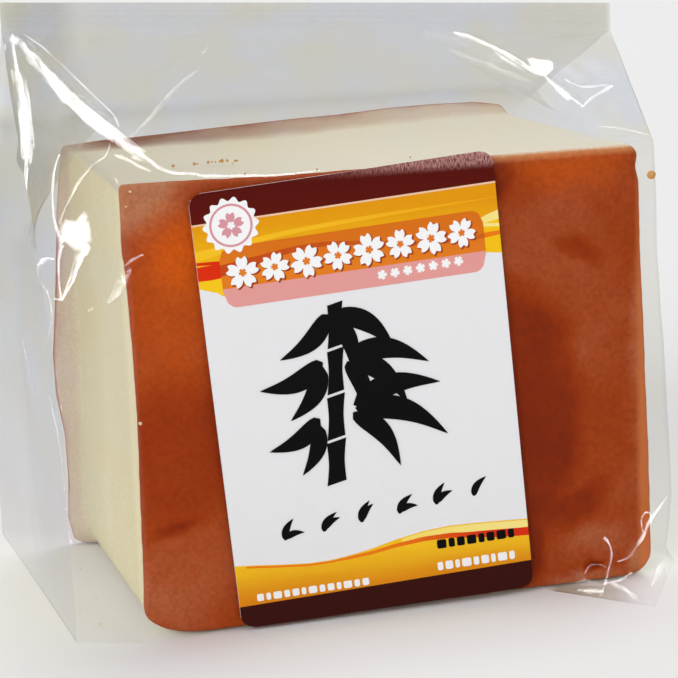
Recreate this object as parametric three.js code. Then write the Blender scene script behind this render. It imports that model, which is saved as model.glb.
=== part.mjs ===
// A block of castella sponge cake sealed in a clear film bag, with a paper label on its front.
// Millimetres, +Z up, front towards -Y. The origin is on the table, under the middle of the cake.
import * as THREE from 'three';
import { mergeVertices } from 'three/addons/utils/BufferGeometryUtils.js';

// ---- driving dimensions ----
const CAKE = { width: 92, depth: 62, height: 78.4 };
const FILM_GAP = 0.6; // how far the outside of the film stands off the cake

// The bag is wider than the cake and hangs loose on its left. [x, y] of its upright creases on the table
// and at the height of the cake's top; "bow" is where the front-right crease stands out furthest.
const CREASE = {
  frontLeft: { table: [-57.2, -27], top: [-59.4, -16], straightTo: 35 },
  frontRight: { table: [50, -31], bow: 51.4, bowHeight: 15, top: [48.4, -31] },
  rearRight: { table: [50, 35], top: [48.4, 35] },
  rearLeft: { table: [-60, 43], top: [-57, 36], straightTo: 60 },
};

// The sealed header leans over the front half of the cake and rises to its left.
const SEAL = {
  y: -7,
  thickness: 1.2,
  height: 5,
  left: { x: -60.3, z: 102.3 }, // ends of its lower edge
  right: { x: 50.8, z: 96.6 },
};

// In the roof t is 0 at the cake's top and 1 at the seal. The side gussets fold inwards from the height
// "start", and are deepest at t = "deepest".
const GUSSET = {
  start: 64,
  deepest: 0.88,
  left: { x: -58.5, y: 8, foldedX: -24 },
  right: { x: 51, y: 2, foldedX: 19 },
};

// The taut ridge from the cake's top left corner up to the seal: [t, x].
const RIDGE = [[0, -43], [0.25, -46.7], [0.5, -53], [1, -57.5]];

// A loose corner of the base fold lies on the table in front of the right-hand corner.
const EAR = { rootX: 26.5, tip: [40.6, -47.6], side: [54.8, -25], height: 5 };

const LABEL = {
  thickness: 0.5,
  clearance: 0.35, // from the film
  cornerRadius: 2.3,
  topLeft: [-35.2, 75.9],
  topRight: [18.0, 78.7],
  bottomRight: [24.1, 1.2],
  bottomLeft: [-29.4, 0.45],
};

// ---- sizes worked out from them ----
const top = CAKE.height + FILM_GAP;
const front = -CAKE.depth / 2 - FILM_GAP;
const rear = CAKE.depth / 2 + FILM_GAP;
const side = CAKE.width / 2 + FILM_GAP;

const mix = (a, b, t) => a + (b - a) * t;

// Value at t on a chain of [t, value] steps, held constant past both ends.
function steps(chain, t) {
  if (t <= chain[0][0]) return chain[0][1];
  for (let i = 1; i < chain.length; i += 1) {
    const [t0, v0] = chain[i - 1];
    const [t1, v1] = chain[i];
    if (t <= t1) return mix(v0, v1, (t - t0) / (t1 - t0));
  }
  return chain[chain.length - 1][1];
}

// A point on the seal's lower edge; face is -1 on its front sheet and 1 on its rear one.
function sealPoint(x, face) {
  const along = (x - SEAL.left.x) / (SEAL.right.x - SEAL.left.x);
  return [x, SEAL.y + (face * SEAL.thickness) / 2, mix(SEAL.left.z, SEAL.right.z, along)];
}

// [x, y] of an upright crease at height z, straight up to "straightTo" and leaning from there on.
function crease({ table, top: end, straightTo = 0 }, z) {
  const lean = steps([[straightTo, 0], [top, 1]], z);
  return [mix(table[0], end[0], lean), mix(table[1], end[1], lean)];
}

// How much of the ear is left at height z: 1 on the table, 0 from its root up.
const earShare = (z) => Math.max(0, 1 - z / EAR.height);

function frontRightCrease(z) {
  const { table, bow, bowHeight, top: end } = CREASE.frontRight;
  const x = steps([[0, table[0]], [bowHeight, bow], [top, end[0]]], z);
  return [mix(x, EAR.side[0], earShare(z)), mix(table[1], EAR.side[1], earShare(z))];
}

// [x, y] of a gusset's middle beside the cake: it starts to fold inwards a little below the cake's top.
function gussetBody({ x, y }, z) {
  const folded = Math.sign(x) * side;
  return [steps([[GUSSET.start, x], [top, folded]], z), y];
}

function gussetRoof({ foldedX }, edgeX, t) {
  return steps([[0, Math.sign(edgeX) * side], [GUSSET.deepest, foldedX], [1, edgeX]], t);
}

// ---- the bag's seams, each given at height z beside the cake and at t in the roof ----
// The order is anticlockwise seen from above. "spans" is the number of equal steps to the next seam, and
// "face" says which sheet of the seal the seam ends in: -1 the front, 1 the rear, 0 the fold between them.
const seams = [
  {
    name: 'front-left crease',
    spans: 3,
    face: -1,
    body: (z) => crease(CREASE.frontLeft, z),
    roofX: () => SEAL.left.x,
  },
  {
    name: 'front-left edge of the cake, then the ridge',
    spans: 8,
    face: -1,
    body: (z) => [steps([[top - 9, -side], [top, RIDGE[0][1]]], z), front],
    roofX: (t) => steps(RIDGE, t),
  },
  { name: 'root of the ear', spans: 4, face: -1, body: () => [EAR.rootX, front], roofX: () => EAR.rootX },
  {
    name: 'tip of the ear',
    spans: 4,
    face: -1,
    body: (z) => [EAR.tip[0], mix(front, EAR.tip[1], earShare(z))],
    roofX: () => EAR.tip[0],
  },
  { name: 'front-right crease', spans: 4, face: -1, body: frontRightCrease, roofX: () => SEAL.right.x },
  {
    name: 'right gusset fold',
    spans: 4,
    face: 0,
    body: (z) => gussetBody(GUSSET.right, z),
    roofX: (t) => gussetRoof(GUSSET.right, SEAL.right.x, t),
  },
  {
    name: 'rear-right crease',
    spans: 2,
    face: 1,
    body: (z) => crease(CREASE.rearRight, z),
    roofX: () => SEAL.right.x,
  },
  {
    name: 'rear-right edge of the cake',
    spans: 8,
    face: 1,
    body: () => [side - 1, rear],
    roofX: () => side - 1,
  },
  {
    name: 'rear-left edge of the cake',
    spans: 3,
    face: 1,
    body: () => [1 - side, rear],
    roofX: () => 1 - side,
  },
  {
    name: 'rear-left crease',
    spans: 4,
    face: 1,
    body: (z) => crease(CREASE.rearLeft, z),
    roofX: () => SEAL.left.x,
  },
  {
    name: 'left gusset fold',
    spans: 4,
    face: 0,
    body: (z) => gussetBody(GUSSET.left, z),
    roofX: (t) => gussetRoof(GUSSET.left, SEAL.left.x, t),
  },
];

// The rings that the bag is lofted through, from the table to the top of the seal.
const bodyHeights = [0, 1.25, 2.5, EAR.height, 15, 25, 35, 48, 60, GUSSET.start, top - 9, top - 4, top];
const roofSteps = [0.1, 0.25, 0.38, 0.5, 0.64, 0.78, GUSSET.deepest, 1];

function bodyRing(z) {
  return seams.map((seam) => [...seam.body(z), z]);
}

function roofRing(t) {
  return seams.map((seam) => {
    const [x0, y0] = seam.body(top);
    const end = sealPoint(seam.roofX(1), seam.face);
    const x = seam.roofX(t) + (x0 - seam.roofX(0)) * (1 - t);
    return [x, mix(y0, end[1], t), mix(top, end[2], t)];
  });
}

// Fills in the points between the seams of one ring.
function fillRing(corners) {
  const points = [];
  corners.forEach((start, i) => {
    const end = corners[(i + 1) % corners.length];
    for (let k = 0; k < seams[i].spans; k += 1) {
      points.push(start.map((value, axis) => mix(value, end[axis], k / seams[i].spans)));
    }
  });
  return points;
}

// A closed solid through rings of equal length, with a flat cap on the first and on the last.
function loft(rings) {
  const count = rings[0].length;
  const index = [];
  for (let level = 0; level + 1 < rings.length; level += 1) {
    for (let i = 0; i < count; i += 1) {
      const a = level * count + i;
      const b = level * count + ((i + 1) % count);
      index.push(a, b, b + count, a, b + count, a + count);
    }
  }
  const cap = (ring) => THREE.ShapeUtils.triangulateShape(ring.map(([x, y]) => new THREE.Vector2(x, y)), []);
  const last = (rings.length - 1) * count;
  cap(rings[0]).forEach(([a, b, c]) => index.push(c, b, a));
  cap(rings[rings.length - 1]).forEach(([a, b, c]) => index.push(last + a, last + b, last + c));

  const geometry = new THREE.BufferGeometry();
  geometry.setAttribute('position', new THREE.Float32BufferAttribute(rings.flat(2), 3));
  geometry.setIndex(index);
  return geometry;
}

function sealedBag() {
  const rings = [...bodyHeights.map(bodyRing), ...roofSteps.map(roofRing)];
  rings.push(roofRing(1).map(([x, y, z]) => [x, y, z + SEAL.height]));
  const film = new THREE.MeshStandardMaterial({ color: '#d9d8d2', roughness: 0.12, metalness: 0 });
  const bag = new THREE.Mesh(loft(rings.map(fillRing)), film);
  bag.name = 'sealed_bag';
  return bag;
}

// A four-cornered outline with each corner rounded by an arc-like curve.
function roundedOutline(corners, radius) {
  const shape = new THREE.Shape();
  corners.forEach((corner, i) => {
    const here = new THREE.Vector2(...corner);
    const before = new THREE.Vector2(...corners[(i + 3) % 4]).sub(here).setLength(radius).add(here);
    const after = new THREE.Vector2(...corners[(i + 1) % 4]).sub(here).setLength(radius).add(here);
    if (i === 0) shape.moveTo(before.x, before.y);
    else shape.lineTo(before.x, before.y);
    shape.quadraticCurveTo(here.x, here.y, after.x, after.y);
  });
  shape.closePath();
  return shape;
}

function frontLabel() {
  const outline = roundedOutline(
    [LABEL.bottomLeft, LABEL.bottomRight, LABEL.topRight, LABEL.topLeft],
    LABEL.cornerRadius,
  );
  const plate = new THREE.ExtrudeGeometry(outline, {
    depth: LABEL.thickness,
    bevelEnabled: false,
    curveSegments: 4,
  });
  plate.rotateX(Math.PI / 2); // the outline's Y becomes Z, and the thickness runs towards the front
  plate.deleteAttribute('normal');
  plate.deleteAttribute('uv');
  const paper = new THREE.MeshStandardMaterial({ color: '#e4e4e6', roughness: 0.4, metalness: 0 });
  const label = new THREE.Mesh(mergeVertices(plate), paper);
  label.name = 'front_label';
  label.position.y = front - LABEL.clearance;
  return label;
}

const part = new THREE.Group();
part.add(sealedBag(), frontLabel());

export default part;
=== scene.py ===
# %% [markdown]
# # A sealed pack of castella sponge cake
#
# A thick block of castella stands upright in a loose clear film bag, with a paper label on the front. This
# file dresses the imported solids: it makes the cake inside the bag, the film with its folds and heat seal,
# and the printed label. All sizes below are in millimetres and are turned to metres when a mesh is made.

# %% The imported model
import math

import bpy
import numpy as np
from mathutils import Matrix, Vector, noise
from mathutils.bvhtree import BVHTree


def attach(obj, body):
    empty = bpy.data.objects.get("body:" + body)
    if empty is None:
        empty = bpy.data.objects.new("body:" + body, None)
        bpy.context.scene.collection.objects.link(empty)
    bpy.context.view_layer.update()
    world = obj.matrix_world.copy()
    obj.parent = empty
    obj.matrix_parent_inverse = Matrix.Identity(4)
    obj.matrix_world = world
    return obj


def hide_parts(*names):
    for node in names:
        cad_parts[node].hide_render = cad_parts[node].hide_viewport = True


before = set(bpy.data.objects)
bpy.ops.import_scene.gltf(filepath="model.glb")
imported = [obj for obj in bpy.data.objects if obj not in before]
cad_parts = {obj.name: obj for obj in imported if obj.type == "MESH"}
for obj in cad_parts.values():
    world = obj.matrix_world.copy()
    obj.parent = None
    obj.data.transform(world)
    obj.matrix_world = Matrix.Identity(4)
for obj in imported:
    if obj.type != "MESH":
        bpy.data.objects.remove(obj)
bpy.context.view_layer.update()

MM = 0.001  # metres in a millimetre

# %% [markdown]
# ## Small tools
#
# Colours are written as sRGB hex values, as a paint chart gives them, and Cycles wants linear light. One
# function turns them. Another adds a shader or geometry node with its settings and links, and a third makes
# a mesh object from points in millimetres. The rest give the faces of swept shapes and of thin closed
# sheets, an outline about a centre, and smooth noise.


# %% Colour, node and mesh helpers
def linear(hex_colour):
    """The linear RGBA of an sRGB hex colour."""
    channels = [int(hex_colour[i:i + 2], 16) / 255 for i in (1, 3, 5)]
    return [c / 12.92 if c <= 0.04045 else ((c + 0.055) / 1.055) ** 2.4 for c in channels] + [1.0]


def add(tree, kind, inputs=None, **settings):
    """Adds one node. settings are its properties; inputs are values, or sockets or nodes to link from.

    A node stands for the first of its outputs that its settings leave in use.
    """
    made = tree.nodes.new(kind)
    for name, value in settings.items():
        setattr(made, name, value)
    for key, value in (inputs or {}).items():
        socket = made.inputs[key]
        if isinstance(value, bpy.types.Node):
            value = next(output for output in value.outputs if output.enabled)
        if isinstance(value, bpy.types.NodeSocket):
            tree.links.new(value, socket)
        else:
            socket.default_value = value
    return made


def empty_material(name):
    """A new material with only its output node, and that node's surface socket."""
    material = bpy.data.materials.new(name)
    material.use_nodes = True
    material.node_tree.nodes.clear()
    output = add(material.node_tree, "ShaderNodeOutputMaterial")
    return material, material.node_tree, output.inputs["Surface"]


def mesh_object(name, points_mm, faces, materials, smooth=True):
    """An object at the origin whose mesh has these points and faces."""
    mesh = bpy.data.meshes.new(name)
    mesh.from_pydata((np.asarray(points_mm, float) * MM).tolist(), [], faces)
    for material in materials:
        mesh.materials.append(material)
    mesh.polygons.foreach_set("use_smooth", [smooth] * len(mesh.polygons))
    mesh.update()
    made = bpy.data.objects.new(name, mesh)
    bpy.context.scene.collection.objects.link(made)
    return made


def ring_faces(rings, points):
    """Quads between successive rings of equal length, wound so that they face outwards."""
    level, i = np.meshgrid(np.arange(rings - 1), np.arange(points), indexing="ij")
    here, beside = level * points + i, level * points + (i + 1) % points
    quads = np.stack([here, beside, beside + points, here + points], axis=-1)
    return quads.reshape(-1, 4).tolist()


def closed_sheet(tops, rim, count):
    """Faces of a closed sheet: its top ones, the same turned over and count points on, and its walls."""
    walls = [[b, a, count + a, count + b] for a, b in zip(rim, rim[1:] + rim[:1])]
    return tops + [[count + i for i in face[::-1]] for face in tops] + walls


def strip_faces(rows, wide):
    """Faces of a closed sheet whose upper side is rows by wide points and whose lower side follows it."""
    count = rows * wide
    starts = [r * wide + c for r in range(rows - 1) for c in range(wide - 1)]
    rim = [*range(wide - 1), *range(wide - 1, count - 1, wide)]
    rim += [*range(count - 1, count - wide, -1), *range(count - wide, 0, -wide)]
    return closed_sheet([[a, a + 1, a + 1 + wide, a + wide] for a in starts], rim, count)


def around(centre, reach, count, turn=0.0):
    """An anticlockwise outline about a centre; reach gives the distance at an angle before the turn."""
    angles = [2 * math.pi * k / count for k in range(count)]
    return [
        (centre[0] + reach(a) * math.cos(a + turn), centre[1] + reach(a) * math.sin(a + turn)) for a in angles
    ]


def roughness_of(points_mm, scale_mm, seed):
    """Smooth seeded noise between about -1 and 1 at each point, with lumps scale_mm across."""
    shift = Vector((seed * 17.3, seed * 5.7, seed * 11.1))
    return np.array([noise.noise(Vector(p) / scale_mm + shift) for p in points_mm])


# %% [markdown]
# ## The camera
#
# A long lens from the front, a little to the left and above, turned slightly about its own axis. The place
# follows from two angles, a distance and the point of the pack that the lens looks at.

# %% Camera
VIEW_AZIMUTH = math.radians(16.2)
VIEW_ELEVATION = math.radians(12.0)
VIEW_ROLL = math.radians(-2.1)
VIEW_DISTANCE = 407.7
VIEW_CENTRE = Vector((0, 0, 38.7))
FOCAL_PIXELS = 2200
IMAGE_PIXELS = 678
CENTRE_OFFSET = (5.5, 18.8)  # pixels from the picture's middle to VIEW_CENTRE, right and down
SENSOR_WIDTH = 36

forward = Vector((
    math.sin(VIEW_AZIMUTH) * math.cos(VIEW_ELEVATION),
    math.cos(VIEW_AZIMUTH) * math.cos(VIEW_ELEVATION),
    -math.sin(VIEW_ELEVATION),
))
level_right = Vector((math.cos(VIEW_AZIMUTH), -math.sin(VIEW_AZIMUTH), 0))
level_up = level_right.cross(forward)
right = level_right * math.cos(VIEW_ROLL) + level_up * math.sin(VIEW_ROLL)
up = level_up * math.cos(VIEW_ROLL) - level_right * math.sin(VIEW_ROLL)
pixel_mm = VIEW_DISTANCE / FOCAL_PIXELS
eye = VIEW_CENTRE - forward * VIEW_DISTANCE
eye += up * CENTRE_OFFSET[1] * pixel_mm - right * CENTRE_OFFSET[0] * pixel_mm

lens = bpy.data.cameras.new("front_camera")
lens.sensor_width = SENSOR_WIDTH
lens.lens = FOCAL_PIXELS / IMAGE_PIXELS * SENSOR_WIDTH
lens.clip_start = 0.01
camera = bpy.data.objects.new("front_camera", lens)
camera.matrix_world = Matrix.Translation(eye * MM) @ Matrix((right, up, -forward)).transposed().to_4x4()
bpy.context.scene.collection.objects.link(camera)
bpy.context.scene.camera = camera
print("camera at", [round(value, 1) for value in eye], "mm, lens", round(lens.lens, 1), "mm")

# %% [markdown]
# ## Floor and light
#
# Clear film shows mostly by what it mirrors, so the light is split as a food studio splits it. Broad, even
# lamps with no sheen of their own light the cake and the label from the front left, and fill the shade from
# behind on the right. Two small bright panels are only mirrored: they draw the white lines on the folds.
# The film doesn't mirror the pale board, which would lie as a haze over the dark crust.

# %% Floor, lights and view
FLOOR_RADIUS, FLOOR_POINTS = 6000, 64
FLOOR_DROP = 0.2  # below the pack's underside, so that the two surfaces never coincide
SUN_SPREAD = 28
BROAD_LAMPS = {  # name: (direction towards the lamp, strength)
    "front_left_lamp": ((-0.62, -0.66, 0.43), 1.05),
    "rear_right_fill": ((0.28, 0.22, 0.93), 0.76),
}
MIRRORED_PANELS = {
    "overhead_panel": ((-0.24, -0.23, 0.94), 2.0),
    "left_panel": ((-0.60, -0.67, 0.43), 2.0),
}
ROOM = 0.6  # the room's even light
BACKDROP = 0.86  # what the camera sees beyond the floor
SKY, GROUND = 0.6, 0.45  # what the film mirrors above and below the horizon


def pale_floor_paint():
    """Matt pale grey board, with a faint mottling so that it isn't perfectly flat."""
    material, tree, surface = empty_material("matt_pale_board")
    place = add(tree, "ShaderNodeTexCoord").outputs["Object"]
    mottle = add(tree, "ShaderNodeTexNoise", {"Vector": place, "Scale": 3.0, "Detail": 2.0})
    colour = add(
        tree, "ShaderNodeMix",
        {0: mottle, 6: linear("#efefef"), 7: linear("#f2f2f2")}, data_type="RGBA",
    )
    shader = add(tree, "ShaderNodeBsdfPrincipled", {"Base Color": colour, "Roughness": 0.9})
    shader.inputs["Specular IOR Level"].default_value = 0.1
    tree.links.new(shader.outputs[0], surface)
    return material


floor_ring = [(x, y, -FLOOR_DROP) for x, y in around((0, 0), lambda a: FLOOR_RADIUS, FLOOR_POINTS)]
floor = mesh_object("floor", floor_ring, [list(range(FLOOR_POINTS))], [pale_floor_paint()])
floor.visible_glossy = False

for lamps, seen_by in ((BROAD_LAMPS, "diffuse"), (MIRRORED_PANELS, "glossy")):
    for name, (towards, strength) in lamps.items():
        sun = bpy.data.lights.new(name, "SUN")
        sun.energy = strength
        sun.angle = math.radians(SUN_SPREAD)
        lamp = bpy.data.objects.new(name, sun)
        lamp.visible_diffuse = seen_by == "diffuse"
        lamp.visible_glossy = seen_by == "glossy"
        lamp.matrix_world = Vector(towards).to_track_quat("Z", "Y").to_matrix().to_4x4()
        bpy.context.scene.collection.objects.link(lamp)

world = bpy.data.worlds.new("studio")
world.use_nodes = True
room = world.node_tree
direction = add(room, "ShaderNodeSeparateXYZ", {0: add(room, "ShaderNodeTexCoord").outputs["Generated"]})
above = add(
    room, "ShaderNodeMapRange", {0: direction.outputs["Z"], 1: -0.1, 2: 0.35, 3: GROUND, 4: SKY},
    interpolation_type="SMOOTHSTEP",
)
ray = add(room, "ShaderNodeLightPath").outputs
seen = add(room, "ShaderNodeMix", {0: ray["Is Camera Ray"], 2: ROOM, 3: BACKDROP})
strength = add(room, "ShaderNodeMix", {0: ray["Is Glossy Ray"], 2: seen, 3: above})
room.links.new(strength.outputs[0], room.nodes["Background"].inputs["Strength"])
room.nodes["Background"].inputs["Color"].default_value = (1, 1, 1, 1)
bpy.context.scene.world = world
bpy.context.scene.view_settings.view_transform = "Standard"
print(len(BROAD_LAMPS), "broad lamps and", len(MIRRORED_PANELS), "mirrored panels")

# %% [markdown]
# ## The cake's finish
#
# Castella is a very fine, even sponge: pale yellow, matt and slightly soft looking, with pores well under a
# millimetre. The baked face is a thin brown skin, smooth and a little mottled. Where the film touches the
# skin it looks darker and richer, as a wet surface does, and where the film stands off it looks dustier.
# Both come from one material on the block: the skin shows within a millimetre of the front and back.

# %% The cake's sizes and the scales of its finish
CAKE = {"width": 92, "depth": 62, "height": 78.4}
FRONT, REAR = -CAKE["depth"] / 2, CAKE["depth"] / 2
CRUST_DEPTH = 1.0
PORE = 0.55  # typical width of a pore in the sponge
NOISES = {  # size and detail
    "clouds": (16, 3.0),  # paler and yellower areas of the sponge
    "grain": (0.7, 5.0),  # the skin's fine speckle
    "smudges": (11, 3.0),  # where the film clings a little more or less
    "wander": (7, 2.0),  # uneven edges of the skin and of its patches
}
PATCH_WANDER = 5.0  # how far the noise moves a patch's edge
STEPS = {  # a soft step along a coordinate or noise: from, to, value before it and after it
    "pore depth": ("pores", 0.1, 0.55, 0.0, 1.0),
    "contact": ("smudges", 0.3, 0.7, 0.33, 0.5),
    "speckle": ("grain", 0.3, 0.7, 0.83, 1.16),
    "shade": ("across", -34.0, 26.0, 1.0, 0.9),  # painted shade, the skin darker towards the right
    "back face": ("depth", REAR - 0.4, REAR - 0.1, -0.6, 0.2),
    "thinner to the right": ("across", 0.0, 20.0, 0.1, 1.0),
    "right edge": ("across", 44.6, 45.8, 0.0, 0.7),
    "upper": ("height", 66.0, 77.0, 0.4, 1.0),
    "on top": ("height", 76.5, 77.5, 0.0, 1.0),
    "paling": ("across", -40.0, 26.0, 1.0, 0.38),
    "past the corner": ("across", -47.0, -36.0, 0.0, 1.0),
    "patchy": ("smudges", 0.4, 0.6, 0.05, 0.3),
    # Painted shade on the sponge: the top darker towards the left, the sides darker towards the rear.
    "painted shade to the left": ("across", -46.0, 2.0, 0.84, 1.0),
    "painted shade to the rear": ("depth", 0.0, 27.0, 1.0, 0.86),
}


def cake_fields(tree):
    """The place in mm, the noises and the soft steps, by name, as sockets or nodes to link from."""
    place = add(tree, "ShaderNodeTexCoord").outputs["Object"]
    in_mm = add(tree, "ShaderNodeVectorMath", {0: place, "Scale": 1 / MM}, operation="SCALE")
    at = dict(zip(("across", "depth", "height"), add(tree, "ShaderNodeSeparateXYZ", {0: in_mm}).outputs))
    for name, (size, detail) in NOISES.items():
        at[name] = add(tree, "ShaderNodeTexNoise", {"Vector": in_mm, "Scale": 1 / size, "Detail": detail})
    at["pores"] = add(tree, "ShaderNodeTexVoronoi", {"Vector": in_mm, "Scale": 1 / PORE, "Randomness": 1.0})
    bend = add(
        tree, "ShaderNodeVectorMath",
        {0: at["wander"].outputs["Color"], 1: (PATCH_WANDER,) * 3, 2: (-PATCH_WANDER / 2,) * 3},
        operation="MULTIPLY_ADD",
    )
    at["wandering"] = add(tree, "ShaderNodeVectorMath", {0: in_mm, 1: bend}, operation="ADD")
    for name, (source, *numbers) in STEPS.items():
        at[name] = add(tree, "ShaderNodeMapRange", {0: at[source], **dict(enumerate(numbers, 1))})
    return at


print(len(NOISES), "noises and", len(STEPS), "soft steps")

# %% [markdown]
# The baked skin is not one brown. Each patch below is an oval laid on the front face, with an edge that the
# noise makes uneven. A patch adds to or takes from one number, the contact with the film, and a ramp of five
# browns turns that number into colour, so that patches that overlap blend as the real ones do. Two patches
# add painted shadow to that number, where the label shades the skin beside its right edge.

# %% Baked skin
# Where the film lies against the baked face or stands off it, and two patches of the label's painted shadow:
# (x, z), (half width, half height), turn in degrees, softness of the patch's edge and strength. Positive is
# darker and richer, negative is dustier.
FILM_CONTACT_AND_LABEL_SHADOW = [
    ((-38, 33), (14, 17), 4, 0.5, 0.3),
    ((-39, 19.5), (6.5, 2), -14, 1, 0.5),
    ((-37, 7), (16, 14), -14, 0.3, -0.16),
    ((-31, 3), (9, 9), 0, 0.9, 0.16),
    ((-45.5, 78), (15, 13), 0, 0.8, -0.5),
    # Painted shadow that the label casts on the baked face along its right edge, near its top and near its
    # foot.
    ((18.8, 74.5), (3.4, 5.5), 0, 0.9, 0.9),
    ((25, 6), (2.8, 6.5), 0, 0.9, 0.7),
    ((28, 55), (15.5, 17.6), 0, 0.2, -0.1),
    ((34.9, 60.8), (6.6, 2.4), 24, 1, 0.45),
    ((19, 31), (17.5, 29), 4, 0.3, 0.55),
    ((34, 15), (8.5, 4.2), -24, 0.8, 0.5),
    ((36.5, 2.6), (3.2, 1.5), -20, 1, 0.9),
    ((45.5, 3.5), (4, 5), 0, 0.9, -0.45),
    ((34, 0.5), (14, 3), -4, 0.8, -0.3),
    ((37.5, 8), (9, 6), 0, 0.8, -0.25),
    ((47.5, 38), (5, 44), 0, 0.7, -0.3),
]
# Where the skin glows orange: (x, z), half sizes, turn, softness and share of the glow's colour.
GLOWS = [
    ((-37, 65.5), (7.5, 9.5), 0, 0.8, 1),
    ((-38, 57), (15, 21), 0, 0.8, 0.45),
    ((32, 78), (15.5, 9.5), 3, 0.7, 0.65),
]
GLOW = "#c85408"
DUSTIEST, RICHEST = "#b87048", "#822806"
BROWNS_BETWEEN = {0.28: "#a84c25", 0.46: "#a03f10", 0.7: "#963408"}


def oval(tree, at, centre, half_sizes, turn, softness):
    """1 within an oval on the baked face, fading to 0 at its edge."""
    inside = add(
        tree, "ShaderNodeMapping",
        {
            "Vector": at["wandering"],
            "Location": (centre[0], FRONT, centre[1]),
            "Rotation": (0, math.radians(turn), 0),
            "Scale": (half_sizes[0], CAKE["depth"], half_sizes[1]),
        },
        vector_type="TEXTURE",
    )
    fall = add(tree, "ShaderNodeTexGradient", {0: inside}, gradient_type="SPHERICAL").outputs["Fac"]
    return add(
        tree, "ShaderNodeMapRange", {0: fall, 1: 0.0, 2: softness, 3: 0.0, 4: 1.0},
        interpolation_type="SMOOTHSTEP",
    )


def baked_skin(tree, at):
    """The skin's colour: patches, glows, speckle, painted shade to the right and the label's painted shadow.
    """
    contact = at["contact"]
    # Two of these patches add the label's painted shadow to the contact number.
    for *oval_of, strength in FILM_CONTACT_AND_LABEL_SHADOW:
        patch = {0: oval(tree, at, *oval_of), 1: strength, 2: contact}
        contact = add(tree, "ShaderNodeMath", patch, operation="MULTIPLY_ADD")
    browns = add(tree, "ShaderNodeValToRGB", {0: contact})
    elements = browns.color_ramp.elements
    elements[0].color, elements[1].color = linear(DUSTIEST), linear(RICHEST)
    for share, colour in BROWNS_BETWEEN.items():
        elements.new(share).color = linear(colour)
    baked = browns
    for *oval_of, share in GLOWS:
        amount = add(tree, "ShaderNodeMath", {0: oval(tree, at, *oval_of), 1: share}, operation="MULTIPLY")
        baked = add(tree, "ShaderNodeMix", {0: amount, 6: baked, 7: linear(GLOW)}, data_type="RGBA")
    # Painted shade: the speckle is multiplied by the step that darkens the skin towards the right.
    light = add(tree, "ShaderNodeMath", {0: at["speckle"], 1: at["shade"]}, operation="MULTIPLY")
    return add(tree, "ShaderNodeMix", {0: 1.0, 6: baked, 7: light}, data_type="RGBA", blend_type="MULTIPLY")


print("baked skin with", len(FILM_CONTACT_AND_LABEL_SHADOW), "contact patches and", len(GLOWS), "glows")


# %% Where the skin is
THIN_SKIN, EDGE_LINE = "#e0a468", "#c8703c"


def skin_and_its_share(tree, at):
    """The skin's colour with its pale edges, and how much of it shows over the sponge."""
    from_middle = add(tree, "ShaderNodeMath", {0: at["depth"]}, operation="ABSOLUTE")
    at_rear = add(tree, "ShaderNodeMath", {0: at["depth"], 1: 0.0}, operation="GREATER_THAN")
    in_front = add(tree, "ShaderNodeMath", {0: 1.0, 1: at_rear}, operation="SUBTRACT")
    back = {0: at_rear, 1: at["back face"], 2: from_middle}
    reach = add(tree, "ShaderNodeMath", back, operation="MULTIPLY_ADD")
    uneven = add(tree, "ShaderNodeMath", {0: at["wander"], 1: 0.9, 2: reach}, operation="MULTIPLY_ADD")
    edge = REAR - CRUST_DEPTH + 0.45
    deep_enough = add(tree, "ShaderNodeMapRange", {0: uneven, 1: edge - 0.25, 2: edge + 0.25, 3: 0.0, 4: 1.0})

    # Along the right of the front face's upper edge the skin thins out over the last two millimetres.
    ragged = add(tree, "ShaderNodeMath", {0: at["grain"], 1: 0.5, 2: at["height"]}, operation="MULTIPLY_ADD")
    thin = add(tree, "ShaderNodeMapRange", {0: ragged, 1: 77.25, 2: 79.05, 3: 0.0, 4: 1.0})
    where = add(tree, "ShaderNodeMath", {0: at["thinner to the right"], 1: in_front}, operation="MULTIPLY")
    worn = add(tree, "ShaderNodeMath", {0: thin, 1: where}, operation="MULTIPLY")
    whole = add(
        tree, "ShaderNodeMapRange", {0: worn, 1: 0.6, 2: 1.0, 3: 1.0, 4: 0.1},
        interpolation_type="SMOOTHSTEP",
    )
    share = add(tree, "ShaderNodeMath", {0: deep_enough, 1: whole}, operation="MULTIPLY")
    tanned = add(tree, "ShaderNodeMath", {0: worn, 1: 0.8}, operation="MULTIPLY")
    skin = baked_skin(tree, at)
    skin = add(tree, "ShaderNodeMix", {0: tanned, 6: skin, 7: linear(THIN_SKIN)}, data_type="RGBA")

    # A line of paler skin runs down the front's right-hand edge.
    pale = add(tree, "ShaderNodeMath", {0: at["right edge"], 1: in_front}, operation="MULTIPLY")
    skin = add(tree, "ShaderNodeMix", {0: pale, 6: skin, 7: linear(EDGE_LINE)}, data_type="RGBA")
    return skin, share


# %% Sponge, browned at its rear rim
CRUMB, PALE_CRUMB, PORE_SHADE, TOP_CRUMB_PAINTED_LIGHT = "#ece0b8", "#f4ebcb", "#e6d8ab", "#e9e1cc"
RIM_LEFT, RIM_TOP, RIM_DEEP = "#a26a88", "#a87058", "#804c2a"


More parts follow.
